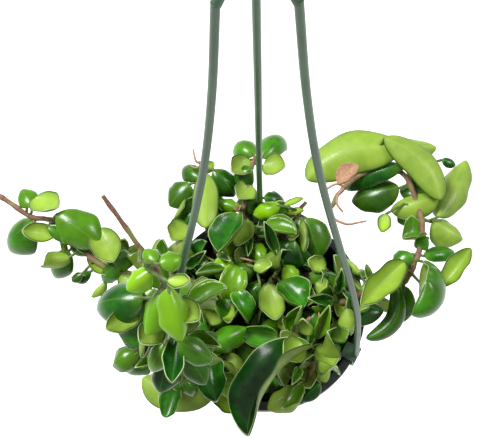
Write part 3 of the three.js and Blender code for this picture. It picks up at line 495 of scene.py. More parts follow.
def smooth_line(knots, steps):
    """A Catmull-Rom line through knots, each a row of numbers, with the same steps in each span."""
    knots = np.array(knots, dtype=float)
    ends = np.vstack([2 * knots[0] - knots[1], knots, 2 * knots[-1] - knots[-2]])
    line = []
    for a, b, c, d in zip(ends, ends[1:], ends[2:], ends[3:]):
        for t in (k / steps for k in range(steps)):
            line.append(0.5 * (2 * b + (c - a) * t + (2 * a - 5 * b + 4 * c - d) * t * t
                               + (3 * b - a - 3 * c + d) * t ** 3))
    return np.array([*line, knots[-1]])


def rods(name, routes, sides, material):
    """Closed rods along routes, each a list of x, y, z and radius in millimetres, as one mesh."""
    curve = bpy.data.curves.new(name, "CURVE")
    curve.dimensions = "3D"
    for route in routes:
        spline = curve.splines.new("POLY")
        spline.points.add(len(route) - 1)
        for point, (x, y, z, radius) in zip(spline.points, route):
            point.co = (*in_metres((x, y, z)), 1.0)
            point.radius = radius * MM
    thing = shown(name, curve)
    sweep = thing.modifiers.new("rods", "NODES")
    sweep.node_group = rod_tree
    sweep[sides_key] = sides
    sweep[skin_key] = material
    graph = bpy.context.evaluated_depsgraph_get()
    mesh = bpy.data.meshes.new_from_object(thing.evaluated_get(graph))
    bpy.data.objects.remove(thing)
    faced_out(mesh)
    return shown(name, mesh)


def joined_as(name, things):
    """Mesh objects joined into the first, with their materials and values kept."""
    with bpy.context.temp_override(active_object=things[0], selected_editable_objects=things,
                                   selected_objects=things, object=things[0]):
        bpy.ops.object.join()
    things[0].name = name
    things[0].data.name = name
    return things[0]


def around(azimuth, points):
    """Points given as distance out, distance to the side and height, turned to an azimuth."""
    c, s = math.cos(math.radians(azimuth)), math.sin(math.radians(azimuth))
    return [(r * c - side * s, r * s + side * c, z) for r, side, z in points]


def tapered(points, start, end):
    """A rod's route through points, with its radius going from start to end."""
    last = len(points) - 1
    return [(*p, start + (end - start) * i / last) for i, p in enumerate(points)]


# A clip's section, from the tongue inside the wall over the rim to the catch under the skirt.
facet = math.cos(math.pi / WALL_FACETS)
tongue_top = inner_radius * facet - CLIP_GAP - CLIP_CORNER
tongue_foot = wall_radius(-CLIP_DEPTH) * facet - CLIP_GAP - CLIP_CORNER
outside = RIM_RADIUS + CLIP_GAP
clip_top = CLIP_GAP + CLIP_THICKNESS
catch = -RIM_SKIRT - CLIP_GAP
clip_section = [
    (tongue_foot - CLIP_THICKNESS, -CLIP_DEPTH), (tongue_foot, -CLIP_DEPTH), (tongue_top, CLIP_GAP),
    (outside, CLIP_GAP), (outside, catch), (RIM_RADIUS - POT_WALL, catch),
    (RIM_RADIUS - POT_WALL, catch - CLIP_THICKNESS), (outside + CLIP_THICKNESS, catch - CLIP_THICKNESS),
    (outside + CLIP_THICKNESS, clip_top), (tongue_top - CLIP_THICKNESS, clip_top),
]
arm = smooth_line([(SHOULDER_RADIUS, SHOULDER_HEIGHT - 1), (8.6, SHOULDER_HEIGHT + 2.6),
                   (5, 0.6 * HUB_HEIGHT + 0.4 * SHOULDER_HEIGHT), (0, HUB_HEIGHT + 2)], ARM_STEPS)
leg = smooth_line(LEG_PROFILE, LEG_STEPS)
hanger_routes, clips = [], []
for azimuth in LEG_AZIMUTHS:
    leg_place = around(azimuth, [(r, 0, z) for r, z in leg])
    hanger_routes.append(tapered(leg_place, LEG_FOOT_RADIUS, LEG_TOP_RADIUS))
    arm_place = around(azimuth, [(r, 0, z) for r, z in arm])
    hanger_routes.append(tapered(arm_place, ARM_RADIUS, ARM_END_RADIUS))
    sides = [[(r, side, z) for r, z in clip_section] for side in (-CLIP_WIDTH / 2, CLIP_WIDTH / 2)]
    near, far = (around(azimuth, side) for side in sides)
    clip = new_object(f"clip_{azimuth}", *prism(near, far), smooth=False)
    faced_out(clip.data)
    soften = clip.modifiers.new("soft_edges", "BEVEL")
    soften.width = CLIP_ROUNDING * MM
    soften.segments = 3
    clips.append(evaluated(clip))
bow = [(HOOK_RADIUS * math.cos(math.radians(t)), HOOK_CENTRE + HOOK_RADIUS * math.sin(math.radians(t)))
       for t in HOOK_TURNS]
shank = [(0, HUB_HEIGHT), (0.3, HUB_HEIGHT + 7), (2.6, HUB_HEIGHT + 12)]
hanger_routes.append([(x, 0, z, HOOK_ROD) for x, z in smooth_line(shank + bow, 2)])
hub_foot, hub_top = HUB_HEIGHT - HUB_DROP, HUB_HEIGHT + HUB_RISE
hub_outline = [(0, hub_foot), (HUB_RADIUS, hub_foot), (HUB_RADIUS / 2, hub_top), (0, hub_top)]
hub = lathed("hub", rounded(hub_outline, HUB_ROUNDING), HUB_SIDES)
rod_work = rods("hanger_rods", hanger_routes, ROD_SIDES, green_plastic)
hanger = joined_as("moulded_hanger", [rod_work, hub, *clips])
hanger.data.shade_smooth()
hanger.data.set_sharp_from_angle(angle=HANGER_CREASE)
hanger.data.materials.clear()
hanger.data.materials.append(green_plastic)
for polygon in hanger.data.polygons:
    polygon.material_index = 0
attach(hanger, "root")
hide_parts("hanger")

# ---- leafy stems ------------------------------------------------------------------------------------
# Eleven stems of a compact, curled-leaf hoya, rooted in the soil. The leaves are thick, waxy and
# folded or rolled, glossy green above with a cream margin, and matt pale green beneath. They grow on
# short stalks in pairs, and one vine has dry roots and one dry leaf at its end.
#
# Each form gives, in degrees, the slope of each half at the midrib and how much more it turns towards
# the margin, how far the midrib bends down, how far the section twists, and how far the midrib
# swings to the left; then how much wider the leaf is than it looks.
FORMS = {
    "bun": [-6, -72, 85, 0, 0, 1.52],
    "dome": [-4, -54, 52, 0, 0, 1.3],
    "tent": [-28, -34, 40, 0, 0, 1.3],
    "flat": [8, 12, 12, 0, 0, 1.0],
    "taco": [52, 34, -55, 0, 0, 1.0],
    "bowl": [12, 62, -30, 0, 0, 1.36],
    "cupped": [26, 46, -20, 15, 0, 1.42],
    "twist": [14, 46, 60, 70, 0, 1.2],
    "wave": [-10, -35, 50, 45, 0, 1.1],
    "scroll": [-10, -60, 125, 0, 0, 1.5],
    "hook": [-22, -34, 30, 10, -125, 1.0],
    "sweep": [22, 58, 12, 0, 66, 1.2],
    "sickle": [6, 36, -25, 0, 60, 1.06],
    "scythe": [6, 36, -25, 0, -60, 1.06]
}
# route: the stem's centre line from its root. thick: its diameter at the root and at the end.
# leaves: where the leaf's base and its tip are seen (x, y, x, y) and how wide it looks there, in
# pixels of the picture; the height of its base above the rim, its elevation and its roll; its form,
# how young and lime-coloured it is, and a curl of its own where it has one.
VINES = [
    {"name": "vine_left", "thick": [4, 2.6],
     "route": [[-29, 12, -20], [-29, 12, -8], [-38, 13, 8], [-52, 15, 15], [-66, 16, 15], [-80, 19, 13],
               [-92, 25, 12], [-104, 36, 12], [-117, 50, 14], [-131, 53, 15], [-144, 62, 16],
               [-156, 70, 17]],
     "leaves": [
         [34, 223, 10, 250, 36, 14, -5, 0, "bun", 0.1],
         [56, 234, 22, 231, 18, 19, 5, 185, "dome", 0.5],
         [32, 206, 22, 190, 19, 19, 10, 0, "dome", 0.25],
         [33, 200, 58, 207, 26, 20, 8, 195, "dome", 0.6],
         [48, 227, 74, 243, 13, 23, 0, 10, "dome", 0.15],
         [57, 214, 101, 244, 36, 27, 8, -10, "dome", 0.25],
         [76, 238, 92, 262, 22, 12, -10, 20, "bowl", 0],
         [60, 234, 70, 264, 13, 14, -15, 150, "taco", 0.7],
         [98, 229, 113, 262, 28, 20, -5, 185, "dome", 0.3],
         [69, 251, 55, 277, 24, 10, -10, 0, "bun", 0.1],
         [82, 274, 72, 281, 9, 8, 0, 0, "dome", 0.1],
         [119, 264, 103, 281, 18, 19, -5, 0, "bun", 0.1],
         [112, 257, 135, 262, 22, 22, 5, 0, "bun", 0.15],
         [120, 276, 136, 289, 16, 14, -5, 185, "dome", 0.5],
         [90, 252, 112, 274, 20, 8, -5, 180, "dome", 0.4],
     ]},
    {"name": "vine_climber", "thick": [4.2, 1.7],
     "route": [[-34, -17, -20], [-34, -17, -8], [-36, -26, 12], [-41, -36, 34], [-45, -39, 58],
               [-46, -37, 80], [-44, -33, 100], [-41, -25, 119], [-43, -17, 126], [-46, -14, 130],
               [-49, -10, 135], [-55, -2, 144], [-62, 7, 152]],
     "leaves": [
         [160, 264, 189, 255, 28, 152, 12, 0, "dome", 0.45],
         [156, 262, 145, 250, 15, 146, 5, 0, "dome", 0.4],
         [151, 271, 127, 290, 27, 139, 0, 10, "tent", 0.95],
         [143, 298, 98, 308, 42, 118, 0, 0, "bun", 0],
         [140, 312, 106, 329, 22, 109, -5, 185, "dome", 0.3],
         [161, 290, 147, 335, 38, 130, -6, -14, "tent", 0.5],
         [168, 288, 181, 341, 34, 137, -8, 12, "tent", 0.65],
         [163, 324, 140, 343, 26, 113, 0, 185, "dome", 0.3],
         [149, 314, 142, 358, 22, 105, -5, 60, "taco", 0.1],
         [165, 344, 152, 371, 22, 100, 0, 0, "bun", 0.3],
         [177, 335, 172, 383, 23, 110, 0, 0, "bowl", 0],
         [178, 341, 212, 361, 24, 117, 0, 0, "dome", 0.15],
         [167, 281, 190, 281, 15, 147, 5, 185, "dome", 0.9],
         [150, 352, 128, 372, 26, 72, 0, 0, "bun", 0.1],
         [168, 362, 160, 392, 26, 66, -5, 0, "dome", 0],
         [186, 352, 206, 384, 24, 80, -5, 0, "dome", 0.1],
         [154, 290, 120, 324, 26, 114, -4, 0, "dome", 0.15],
         [174, 302, 199, 320, 24, 124, 0, 182, "dome", 0.4],
         [184, 354, 216, 334, 26, 88, 5, 0, "dome", 0.1],
     ]},
    {"name": "vine_front_left", "thick": [4, 2.4],
     "route": [[-19, -23, -20], [-19, -23, -8], [-24, -32, 8], [-31, -42, 18], [-36, -50, 20],
               [-37, -57, 16]],
     "leaves": [
         [215, 384, 143, 378, 43, 26, 2, 180, "sickle", 0.3],
         [196, 372, 168, 392, 26, 24, 5, 180, "dome", 0.35],
         [203, 352, 216, 402, 34, 28, -5, 0, "bowl", 0],
         [214, 392, 238, 412, 18, 9, 0, 185, "dome", 0.7],
         [226, 362, 243, 396, 26, 16, -5, 150, "tent", 0.3],
         [208, 346, 246, 328, 28, 27, 5, 0, "tent", 0.15],
         [205, 366, 186, 372, 24, 28, 5, 0, "bun", 0.1],
         [231, 353, 240, 398, 26, 14, 0, 182, "bowl", 0.3],
     ]},
    {"name": "vine_front", "thick": [4, 2.4],
     "route": [[8, -15, -20], [8, -15, -8], [14, -24, 8], [22, -29, 15], [25, -38, 13], [20, -48, 8]],
     "leaves": [
         [311, 346, 248, 436, 50, 26, 4, -48, "sweep", 0],
         [302, 343, 284, 358, 26, 26, 12, 192, "dome", 0.5],
         [248, 345, 240, 366, 18, 12, 0, 0, "bun", 0.2],
         [252, 350, 264, 368, 24, 10, 0, 0, "dome", 0.6],
         [314, 350, 326, 382, 26, 12, -4, 182, "bowl", 0.3],
         [320, 344, 334, 366, 24, 15, -2, 184, "dome", 0.35],
         [302, 390, 268, 409, 26, 9, 2, 182, "bowl", 0.3],
         [320, 383, 298, 404, 18, 5, 5, 0, "dome", 0],
         [267, 346, 276, 366, 20, 10, 0, 180, "bowl", 0.5],
         [300, 366, 310, 388, 22, 8, 0, 182, "dome", 0.35],
         [262, 372, 256, 396, 22, 9, 0, 0, "dome", 0.1],
         [280, 366, 276, 388, 22, 6, 0, 0, "bun", 0.2],
     ]},
    {"name": "vine_right", "thick": [4.2, 2.4],
     "route": [[31, -6, -20], [31, -6, -8], [38, -4, 10], [50, 0, 17], [63, 4, 14], [76, 7, 12],
               [84, 17, 12], [91, 36, 14], [89, 55, 16], [82, 72, 18], [64, 74, 18], [48, 64, 17],
               [40, 52, 16]],
     "leaves": [
         [402, 150, 307, 180, 46, 29, 4, 187, "scythe", 0.4],
         [384, 139, 440, 200, 34, 33, 2, 180, "sickle", 0.3],
         [388, 148, 436, 148, 26, 16, 0, 178, "bowl", 0.4],
         [442, 160, 464, 169, 16, 8, 5, 0, "dome", 0],
         [438, 217, 466, 161, 32, 12, 4, 195, "bowl", 0.3],
         [438, 198, 391, 211, 28, 19, -2, 178, "bowl", 0.4],
         [402, 166, 344, 188, 24, 23, 0, -12, "bun", 0],
         [399, 188, 344, 204, 38, 14, 0, 0, "dome", 0.1],
         [428, 170, 410, 196, 28, 15, 5, 0, "bun", 0],
         [424, 196, 400, 190, 16, 14, 0, 0, "dome", 0.1],
         [386, 214, 382, 232, 13, 16, -10, 180, "dome", 0.9],
         [426, 234, 402, 238, 30, 13, -5, -35, "cupped", 0.2],
         [428, 238, 410, 250, 24, 17, 0, 0, "bun", 0.1],
         [432, 222, 462, 240, 32, 10, 0, 185, "bowl", 0.25],
         [424, 256, 454, 252, 16, 12, 5, 10, "dome", 0.05],
         [424, 262, 412, 314, 44, 18, 15, 110, "bun", 0.1, 140],
         [441, 287, 471, 248, 22, 13, 4, 190, "tent", 0.45],
         [374, 284, 366, 264, 14, 14, 10, 60, "taco", 0.2],
         [404, 262, 361, 305, 28, 20, 2, 185, "tent", 0.5],
         [384, 272, 360, 306, 20, 14, 0, 40, "tent", 0.6],
         [392, 280, 366, 338, 24, 21, -6, 0, "hook", 0.1],
         [404, 286, 402, 322, 22, 17, -5, -10, "dome", 0.1],
         [412, 254, 394, 268, 22, 15, 0, 0, "dome", 0.1],
         [420, 208, 398, 222, 24, 11, 0, 0, "dome", 0.05],
         [348, 292, 368, 308, 24, 9, 0, 0, "dome", 0.05],
         [350, 298, 338, 316, 22, 12, 0, 185, "dome", 0.4],
     ]},
    {"name": "vine_back_left", "thick": [3.8, 2.0],
     "route": [[-22, 27, -20], [-22, 27, -8], [-27, 36, 10], [-31, 48, 15], [-33, 60, 18], [-34, 71, 21],
               [-33, 80, 25]],
     "leaves": [
         [190, 184, 170, 206, 30, 19, 0, 0, "dome", 0.15],
         [186, 200, 174, 220, 22, 16, 0, 60, "cupped", 0.2],
         [205, 172, 217, 158, 16, 17, 15, 180, "dome", 0.7],
         [214, 170, 234, 196, 26, 21, 5, 0, "bun", 0.05],
         [206, 228, 205, 173, 28, 24, 10, 176, "flat", 0.55],
         [188, 222, 172, 240, 24, 14, 5, 185, "dome", 0.4],
         [192, 212, 182, 232, 14, 19, 0, 0, "dome", 0],
         [212, 214, 222, 246, 22, 17, -5, 20, "cupped", 0.6],
         [206, 198, 226, 214, 24, 15, 0, 0, "dome", 0.05],
         [200, 178, 184, 168, 20, 23, 5, 0, "bun", 0.1],
     ]},
    {"name": "vine_back_mid", "thick": [3.6, 2.0],
     "route": [[-4, 33, -20], [-4, 33, -8], [-7, 42, 8], [-10, 50, 13], [-8, 62, 15], [-5, 74, 18],
               [-2, 84, 21]],
     "leaves": [
         [254, 156, 238, 148, 22, 21, 15, 0, "scroll", 0.2],
         [250, 160, 232, 172, 22, 18, 5, 190, "dome", 0.25],
         [252, 168, 232, 186, 28, 22, 5, 0, "bun", 0.05],
         [252, 186, 238, 198, 22, 16, 0, 185, "dome", 0.3],
         [262, 158, 280, 146, 24, 21, 10, 0, "scroll", 0.1],
         [263, 166, 285, 166, 24, 18, 5, 182, "dome", 0.4],
         [240, 208, 216, 202, 16, 21, 8, 10, "tent", 0.3],
         [264, 198, 284, 202, 20, 14, 5, 0, "bun", 0],
         [240, 214, 218, 252, 34, 21, 3, -25, "bowl", 0],
         [248, 220, 232, 256, 30, 17, -5, 172, "dome", 0.2],
         [232, 226, 220, 250, 22, 13, 5, -30, "cupped", 0.7],
         [257, 195, 237, 211, 22, 15, 2, 0, "dome", 0.1],
     ]},
    {"name": "vine_back_right", "thick": [3.6, 2.0],
     "route": [[14, 27, -20], [14, 27, -8], [17, 36, 8], [20, 43, 13], [22, 50, 16], [26, 56, 18]],
     "leaves": [
         [280, 206, 244, 218, 24, 27, 4, 0, "bun", 0.95],
         [284, 206, 303, 198, 14, 22, 8, 120, "taco", 0.8],
         [286, 214, 304, 210, 14, 19, 8, 100, "taco", 0.7],
         [281, 230, 257, 236, 30, 11, 0, -22, "bowl", 0.05],
         [294, 212, 268, 217, 22, 12, 5, -35, "cupped", 0.1],
         [302, 220, 304, 258, 26, 15, 0, 80, "taco", 0.3],
         [306, 218, 320, 258, 34, 16, 0, -10, "dome", 0.15],
         [294, 226, 288, 250, 20, 19, 0, 180, "dome", 0.6],
         [300, 246, 318, 262, 24, 9, 0, 0, "dome", 0],
     ]},
    {"name": "vine_centre_left", "thick": [3.8, 2.2],
     "route": [[-26, -1, -20], [-26, -1, -8], [-24, 6, 8], [-18, 12, 13], [-12, 18, 15], [-6, 22, 15]],
     "leaves": [
         [252, 268, 224, 280, 26, 18, 5, 20, "scroll", 0.1],
         [250, 262, 244, 284, 16, 15, 0, 0, "dome", 0.05],
         [260, 284, 234, 308, 24, 17, -3, -10, "tent", 0.05],
         [218, 290, 226, 308, 20, 11, -5, 0, "dome", 0.7],
         [206, 262, 200, 284, 26, 14, 0, 0, "bun", 0],
         [204, 284, 198, 322, 36, 12, -3, 0, "dome", 0],
         [208, 258, 190, 270, 20, 12, 0, 0, "bun", 0.05],
         [242, 298, 226, 324, 28, 9, 0, -35, "cupped", 0.1],
     ]},
    {"name": "vine_centre", "thick": [3.8, 2.2],
     "route": [[6, 7, -20], [6, 7, -8], [6, 12, 8], [8, 16, 13], [12, 22, 15]],
     "leaves": [
         [294, 240, 276, 276, 36, 21, 2, 5, "bun", 0],
         [284, 266, 298, 284, 18, 21, 5, 0, "bun", 0.85],
         [268, 284, 276, 320, 24, 16, -5, 182, "dome", 0.3],
         [280, 282, 304, 308, 36, 18, 0, 20, "bowl", 0.05],
         [298, 310, 290, 330, 22, 9, 0, 0, "bun", 0.1],
         [263, 321, 277, 337, 21, 7, 0, 0, "dome", 0.2],
     ]},
    {"name": "vine_centre_right", "thick": [3.8, 2.2],
     "route": [[24, 8, -20], [24, 8, -8], [27, 10, 8], [30, 8, 13], [34, 0, 14]],
     "leaves": [
         [300, 296, 316, 300, 18, 17, 5, 180, "dome", 0.5],
         [304, 284, 312, 292, 14, 19, 5, 180, "dome", 0.5],
         [310, 274, 350, 284, 26, 18, 2, 10, "tent", 0.15],
         [326, 268, 308, 260, 16, 17, 10, 190, "dome", 0.5],
         [314, 296, 341, 304, 30, 15, 0, 30, "cupped", 0.05],
         [334, 322, 344, 342, 26, 14, 5, 0, "bun", 0.7],
         [318, 312, 308, 352, 24, 14, -5, 10, "wave", 0.1],
         [292, 322, 304, 346, 24, 10, 0, 0, "dome", 0],
     ]},
]
UNDER_STEP = 15                     # of stem between the pairs of small leaves
UNDER_REACH = 54                    # from the pot's axis
UNDER_TOP = 40                      # above the rim
UNDER_SEED = 11
# A small leaf's distance from the stem, its elevation, its length, and its width beside its length:
# each at least the first number, and up to the second one more.
UNDER_SPREAD = (1.5, 2.5)
UNDER_SLOPE = (-20, 50)
UNDER_LENGTH = (16, 11)
UNDER_WIDTH = (0.75, 0.3)
UNDER_ROLL = 60                     # how widely it is rolled, face up or face down
UNDER_RISE = 4                      # above the soil
UNDER_FORMS = ["bun", "cupped", "bowl", "twist", "dome", "scroll"]
SIZE_STEPS = [1, 0.85, 0.72, 0.6]   # the sizes at which a solid's leaf may have been grown
LARGE_LEAF = 30
SMALL_LEAF = 18
LEAF_THICKNESS = 1.5                # at the midrib
MARGIN_THICKNESS = 0.8
SOLID_MARGIN = 0.7                  # the margin's thickness on the solid
MIDRIB_STEPS = 24
WIDEST = 0.45                       # where a leaf is widest, as a share of its length
TIP_SHAPE = (2.6, 0.56)             # powers that give its pointed end its outline
GROOVE_DEPTH = 0.3
GROOVE_HALF = 0.9
GROOVE_FADE = 4.0                   # the groove fades where half the leaf is narrower than this
MARGIN_FADE = 1.5                   # and the blade thins where it is narrower than this
WAVES = (1.0, 1.5)                  # waves along a margin: at least, and up to how many more
WAVE_HEIGHT = (0.012, 0.03)         # their height beside the leaf's width, in the same way
SAME_PLACE = 0.35                   # between a leaf and the solid that it belongs to


def draws(seed):
    """The same seeded draws as the solids use, each between 0 and 1."""
    state = seed
    while True:
        state = (state * 16807) % 2147483647
        yield state / 2147483647


def undergrowth(line, seed, step, reach, spread, top):
    """Pairs of small leaves on a stem: step of stem between pairs, within reach of the pot's axis
    and below the top."""
    draw = draws(seed)

    def between(limits):
        return limits[0] + limits[1] * next(draw)

    leaves, travelled = [], 0.0
    for before, here in zip(line, line[1:]):
        travelled += np.linalg.norm(here - before)
        if travelled < step:
            continue
        travelled = 0.0
        for _ in range(2):
            azimuth = 360 * next(draw)
            elevation = between(UNDER_SLOPE)
            roll = 180 * math.floor(1.5 * next(draw)) + UNDER_ROLL * (next(draw) - 0.5)
            length = between(UNDER_LENGTH)
            width = length * between(UNDER_WIDTH)
            form = UNDER_FORMS[math.floor(len(UNDER_FORMS) * next(draw))]
            young = next(draw) ** 2
            offset = between(spread)
            x = here[0] + offset * math.cos(math.radians(azimuth))
            y = here[1] + offset * math.sin(math.radians(azimuth))
            if math.hypot(x, y) <= reach and SOIL_TOP + UNDER_RISE <= here[2] <= top:
                leaves.append([x, y, here[2], azimuth, elevation, roll, length, width, form, young])
    return leaves


def direction(azimuth, elevation):
    """The unit vector at an azimuth and an elevation in degrees."""
    azimuth, elevation = math.radians(azimuth), math.radians(elevation)
    return np.array([math.cos(elevation) * math.cos(azimuth), math.cos(elevation) * math.sin(azimuth),
                     math.sin(elevation)])


def turned_between(a, b, angles):
    """Two crossed directions, both turned from a towards b by each of some angles."""
    c, s = np.cos(angles)[:, None], np.sin(angles)[:, None]
    return a * c + b * s, b * c - a * s


def outline_share(u):
    """Half the width along the leaf, 1 at the widest: a round base and a pointed tip."""
    u = np.asarray(u, dtype=float)
    base = np.sqrt(np.clip(1 - (1 - u / WIDEST) ** 2, 0, 1))
    tip = np.clip(1 - (np.clip(u - WIDEST, 0, 1) / (1 - WIDEST)) ** TIP_SHAPE[0], 0, 1) ** TIP_SHAPE[1]
    return np.where(u < WIDEST, base, tip)


def leaf_surface(leaf, along, across):
    """Middle surface of a leaf: points, upper normals, and half the width, for rows at the shares
    given along the midrib and columns at the shares given across, from -1 to 1."""
    x, y, z, azimuth, elevation, roll, length, width, form = leaf[:9]
    fold, cup, curl, twist, bend = FORMS[form][:5]
    curl = leaf[10] if len(leaf) > 10 else curl
    fold, cup, curl, twist, bend, roll = (math.radians(a) for a in (fold, cup, curl, twist, bend, roll))
    ahead = direction(azimuth, elevation)
    upright = np.array([0.0, 0.0, 1.0]) - ahead * ahead[2]
    upright /= np.linalg.norm(upright)
    above = upright * math.cos(roll) + np.cross(upright, ahead) * math.sin(roll)
    side = np.cross(above, ahead)

    def heading(u):
        """Forwards, sideways and up at each share of the midrib, before the twist."""
        level, out = turned_between(ahead, side, bend * u)
        forwards, lift = turned_between(level, above, -curl * u ** 1.3)
        return forwards, out, lift

    steps = np.arange(MIDRIB_STEPS + 1) / MIDRIB_STEPS
    way = heading(steps)[0][1:] * length / MIDRIB_STEPS
    knots = np.vstack([np.zeros(3), np.cumsum(way, axis=0)]) + (x, y, z)
    middle = np.stack([np.interp(along, steps, knots[:, k]) for k in range(3)], axis=1)
    _, out, lift = heading(along)
    lift, out = turned_between(lift, out, twist * along)
    half = width / 2 * outline_share(along)
    end = fold + cup * np.abs(across)
    sideways = np.sign(across) * (np.sin(end) - math.sin(fold)) / cup
    upward = (math.cos(fold) - np.cos(end)) / cup
    points = (middle[:, None] + out[:, None] * (half[:, None] * sideways)[..., None]
              + lift[:, None] * (half[:, None] * upward)[..., None])
    face = (lift[:, None] * np.cos(end)[None, :, None]
            - out[:, None] * (np.sign(across) * np.sin(end))[None, :, None])
    return points, face, half


PICTURE_SIZE = (500, 438)           # pixels
FOCAL = CAMERA_LENS / SENSOR_WIDTH * PICTURE_SIZE[0]
AIM_START = 20                      # a leaf's length before it is brought to where its tip is seen
AIM_ROUNDS = 8                      # how often its heading and length are corrected


def sighted(x, y, height):
    """The point at a height above the rim that is seen at pixel (x, y)."""
    ray = -np.array(back) + np.array(right) * (x - PICTURE_SIZE[0] / 2) / FOCAL
    ray -= np.array(up) * (y - PICTURE_SIZE[1] / 2) / FOCAL
    return CAMERA_PLACE + ray * (height - CAMERA_PLACE[2]) / ray[2]


def read_leaf(row):
    """A leaf from its row in the table: x, y, z of its base, azimuth, elevation, roll, length, width,
    form, youth and curl, headed so that its tip comes where it is seen."""
    base_x, base_y, tip_x, tip_y, look, height, elevation, roll, form, young = row[:10]
    base = sighted(base_x, base_y, height)
    width = FORMS[form][5] * look * np.linalg.norm(base - CAMERA_PLACE) / FOCAL
    leaf = [*base, 0.0, elevation, roll, AIM_START, width, form, young, *row[10:]]
    for _ in range(AIM_ROUNDS):
        tip = leaf_surface(leaf, np.array([1.0]), np.array([0.0]))[0][0, 0]
        goal = sighted(tip_x, tip_y, tip[2]) - base
        tip = tip - base
        leaf[3] += math.degrees(math.atan2(goal[1], goal[0]) - math.atan2(tip[1], tip[0]))
        leaf[6] *= math.hypot(goal[0], goal[1]) / math.hypot(tip[0], tip[1])
    return leaf


def sized(leaf, share):
    """The leaf at a share of its length and width."""
    return [*leaf[:6], leaf[6] * share, leaf[7] * share, *leaf[8:]]


def cad_tree(node):
    """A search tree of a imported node's faces, in metres."""
    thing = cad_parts[node]
    corners = [thing.matrix_world @ v.co for v in thing.data.vertices]
    return BVHTree.FromPolygons(corners, [tuple(p.vertices) for p in thing.data.polygons])


def as_grown(leaf, solid_tree):
    """The leaf at the size at which it stands in its solid, or None where it was left out."""
    for grown in (sized(leaf, share) for share in SIZE_STEPS):
        large, small = grown[6] >= LARGE_LEAF, grown[6] < SMALL_LEAF
        rows = 4 if large else 2 if small else 3
        columns = 4 if large else 2
        across = 2 * np.arange(columns + 1) / columns - 1
        points, face, _ = leaf_surface(grown, np.arange(1, rows) / rows, across)
        depth = LEAF_THICKNESS + (SOLID_MARGIN - LEAF_THICKNESS) * np.abs(across)
        sides = [points + sign * face * depth[None, :, None] / 2 for sign in (1, -1)]
        near = [solid_tree.find_nearest(Vector(p))[3] / MM
                for side in sides for p in in_metres(side.reshape(-1, 3))]
        if np.median(near) < SAME_PLACE and np.mean(near) < 3 * SAME_PLACE:
            return grown
    return None


VALUES = ("under", "edge", "rib", "along", "young", "tint")
FINE = {"large": (24, 14), "middle": (12, 10), "small": (6, 4)}   # rows and columns of a blade


def leaf_blade(leaf, luck, mesh, grain):
    """Adds one leaf to the lists in mesh: a plump closed blade with a grooved midrib, a softly
    waved margin, and values for its material at each point."""
    rows, columns = FINE[grain]
    inner = np.arange(1, rows) / rows
    along = np.concatenate([[0, 0.1 / rows, 0.4 / rows], inner, [1 - 0.35 / rows, 1 - 0.1 / rows, 1]])
    across = np.sin(np.linspace(-math.pi / 2, math.pi / 2, columns + 1))
    points, face, half = leaf_surface(leaf, along, across)
    waves = WAVES[0] + WAVES[1] * luck.random()
    phase = 6.28 * luck.random()
    swell = WAVE_HEIGHT[0] + WAVE_HEIGHT[1] * luck.random()
    wave = np.sin(2 * math.pi * waves * along + phase) * np.sin(math.pi * along) * swell * leaf[7]
    waved = np.abs(across) ** 2 * np.sign(across + 0.2)
    points = points + face * wave[:, None, None] * waved[None, :, None]
    rib_mm = half[:, None] * np.abs(across)[None, :]
    edge_mm = half[:, None] * (1 - np.abs(across))[None, :]
    depth = LEAF_THICKNESS + (MARGIN_THICKNESS - LEAF_THICKNESS) * np.abs(across)
    rounding = np.sqrt(np.clip(1 - np.abs(across) ** 10, 0, 1))
    thin = depth[None, :] * rounding[None, :] * np.clip(half[:, None] / MARGIN_FADE, 0, 1)
    groove = GROOVE_DEPTH * np.exp(-(rib_mm / GROOVE_HALF) ** 2)
    groove = groove * np.clip(half[:, None] / GROOVE_FADE, 0, 1)
    top = points + face * (thin / 2 - groove)[..., None]
    under = points - face * (thin / 2 + 0.5 * groove)[..., None]
    last_row, last_column = len(along) - 1, len(across) - 1
    index = np.full((2, len(along), len(across)), -1, dtype=int)
    tint = luck.random()

    def put(layer, i, j, place):
        """A point of the blade and its values; the margin lies between the two sides."""
        index[layer, i, j] = len(mesh["points"])
        mesh["points"].append(place)
        side = layer if 0 < j < last_column else 0.5
        for key, value in zip(VALUES, (side, edge_mm[i, j], rib_mm[i, j], along[i], leaf[9], tint)):
            mesh[key].append(value)

    for i in (0, last_row):
        put(0, i, columns // 2, points[i, columns // 2])
        index[:, i, :] = index[0, i, columns // 2]
    for i in range(1, last_row):
        for j in range(last_column + 1):
            put(0, i, j, top[i, j])
            if 0 < j < last_column:
                put(1, i, j, under[i, j])
            else:
                index[1, i, j] = index[0, i, j]
    for i in range(last_row):
        for j in range(last_column):
            for layer, grid in enumerate(index):
                quad = [grid[i, j], grid[i + 1, j], grid[i + 1, j + 1], grid[i, j + 1]]
                ring = [p for k, p in enumerate(quad) if p != quad[k - 1]]
                if len(ring) > 2:
                    mesh["faces"].append(ring if layer else ring[::-1])


def nearest_on(line, base):
    """The point of a line that is nearest to a base."""
    feet = []
    for a, b in zip(line, line[1:]):
        t = min(max(np.dot(base - a, b - a) / np.dot(b - a, b - a), 0), 1)
        feet.append(a + t * (b - a))
    return min(feet, key=lambda foot: np.linalg.norm(foot - base))


# Waxy leaf: the upper side is a glossy deep green under a clear wax, lime where it is young, with a
# cream margin and a paler midrib; the under side is matt, pale yellow-green, with a raised rib, painted
# shade that darkens it towards its margin, and a fine dark rim.
PATCH_SIZE = 7.0                    # between the leaf's darker and lighter patches
SWELL_SIZE = 3.4                    # its shallow swellings
CELL_SIZE = 0.9                     # the leaf's fine dimpling
CRACK_SIZE = 1.1                    # the bark's fine cracks
BAND_SIZE = 8.0                     # between the greener stretches of a stem
STALK_SIZE = 3.0                    # between a stalk's darker and lighter stretches
FIBRE_SIZE = 0.8                    # the dry roots' fibres

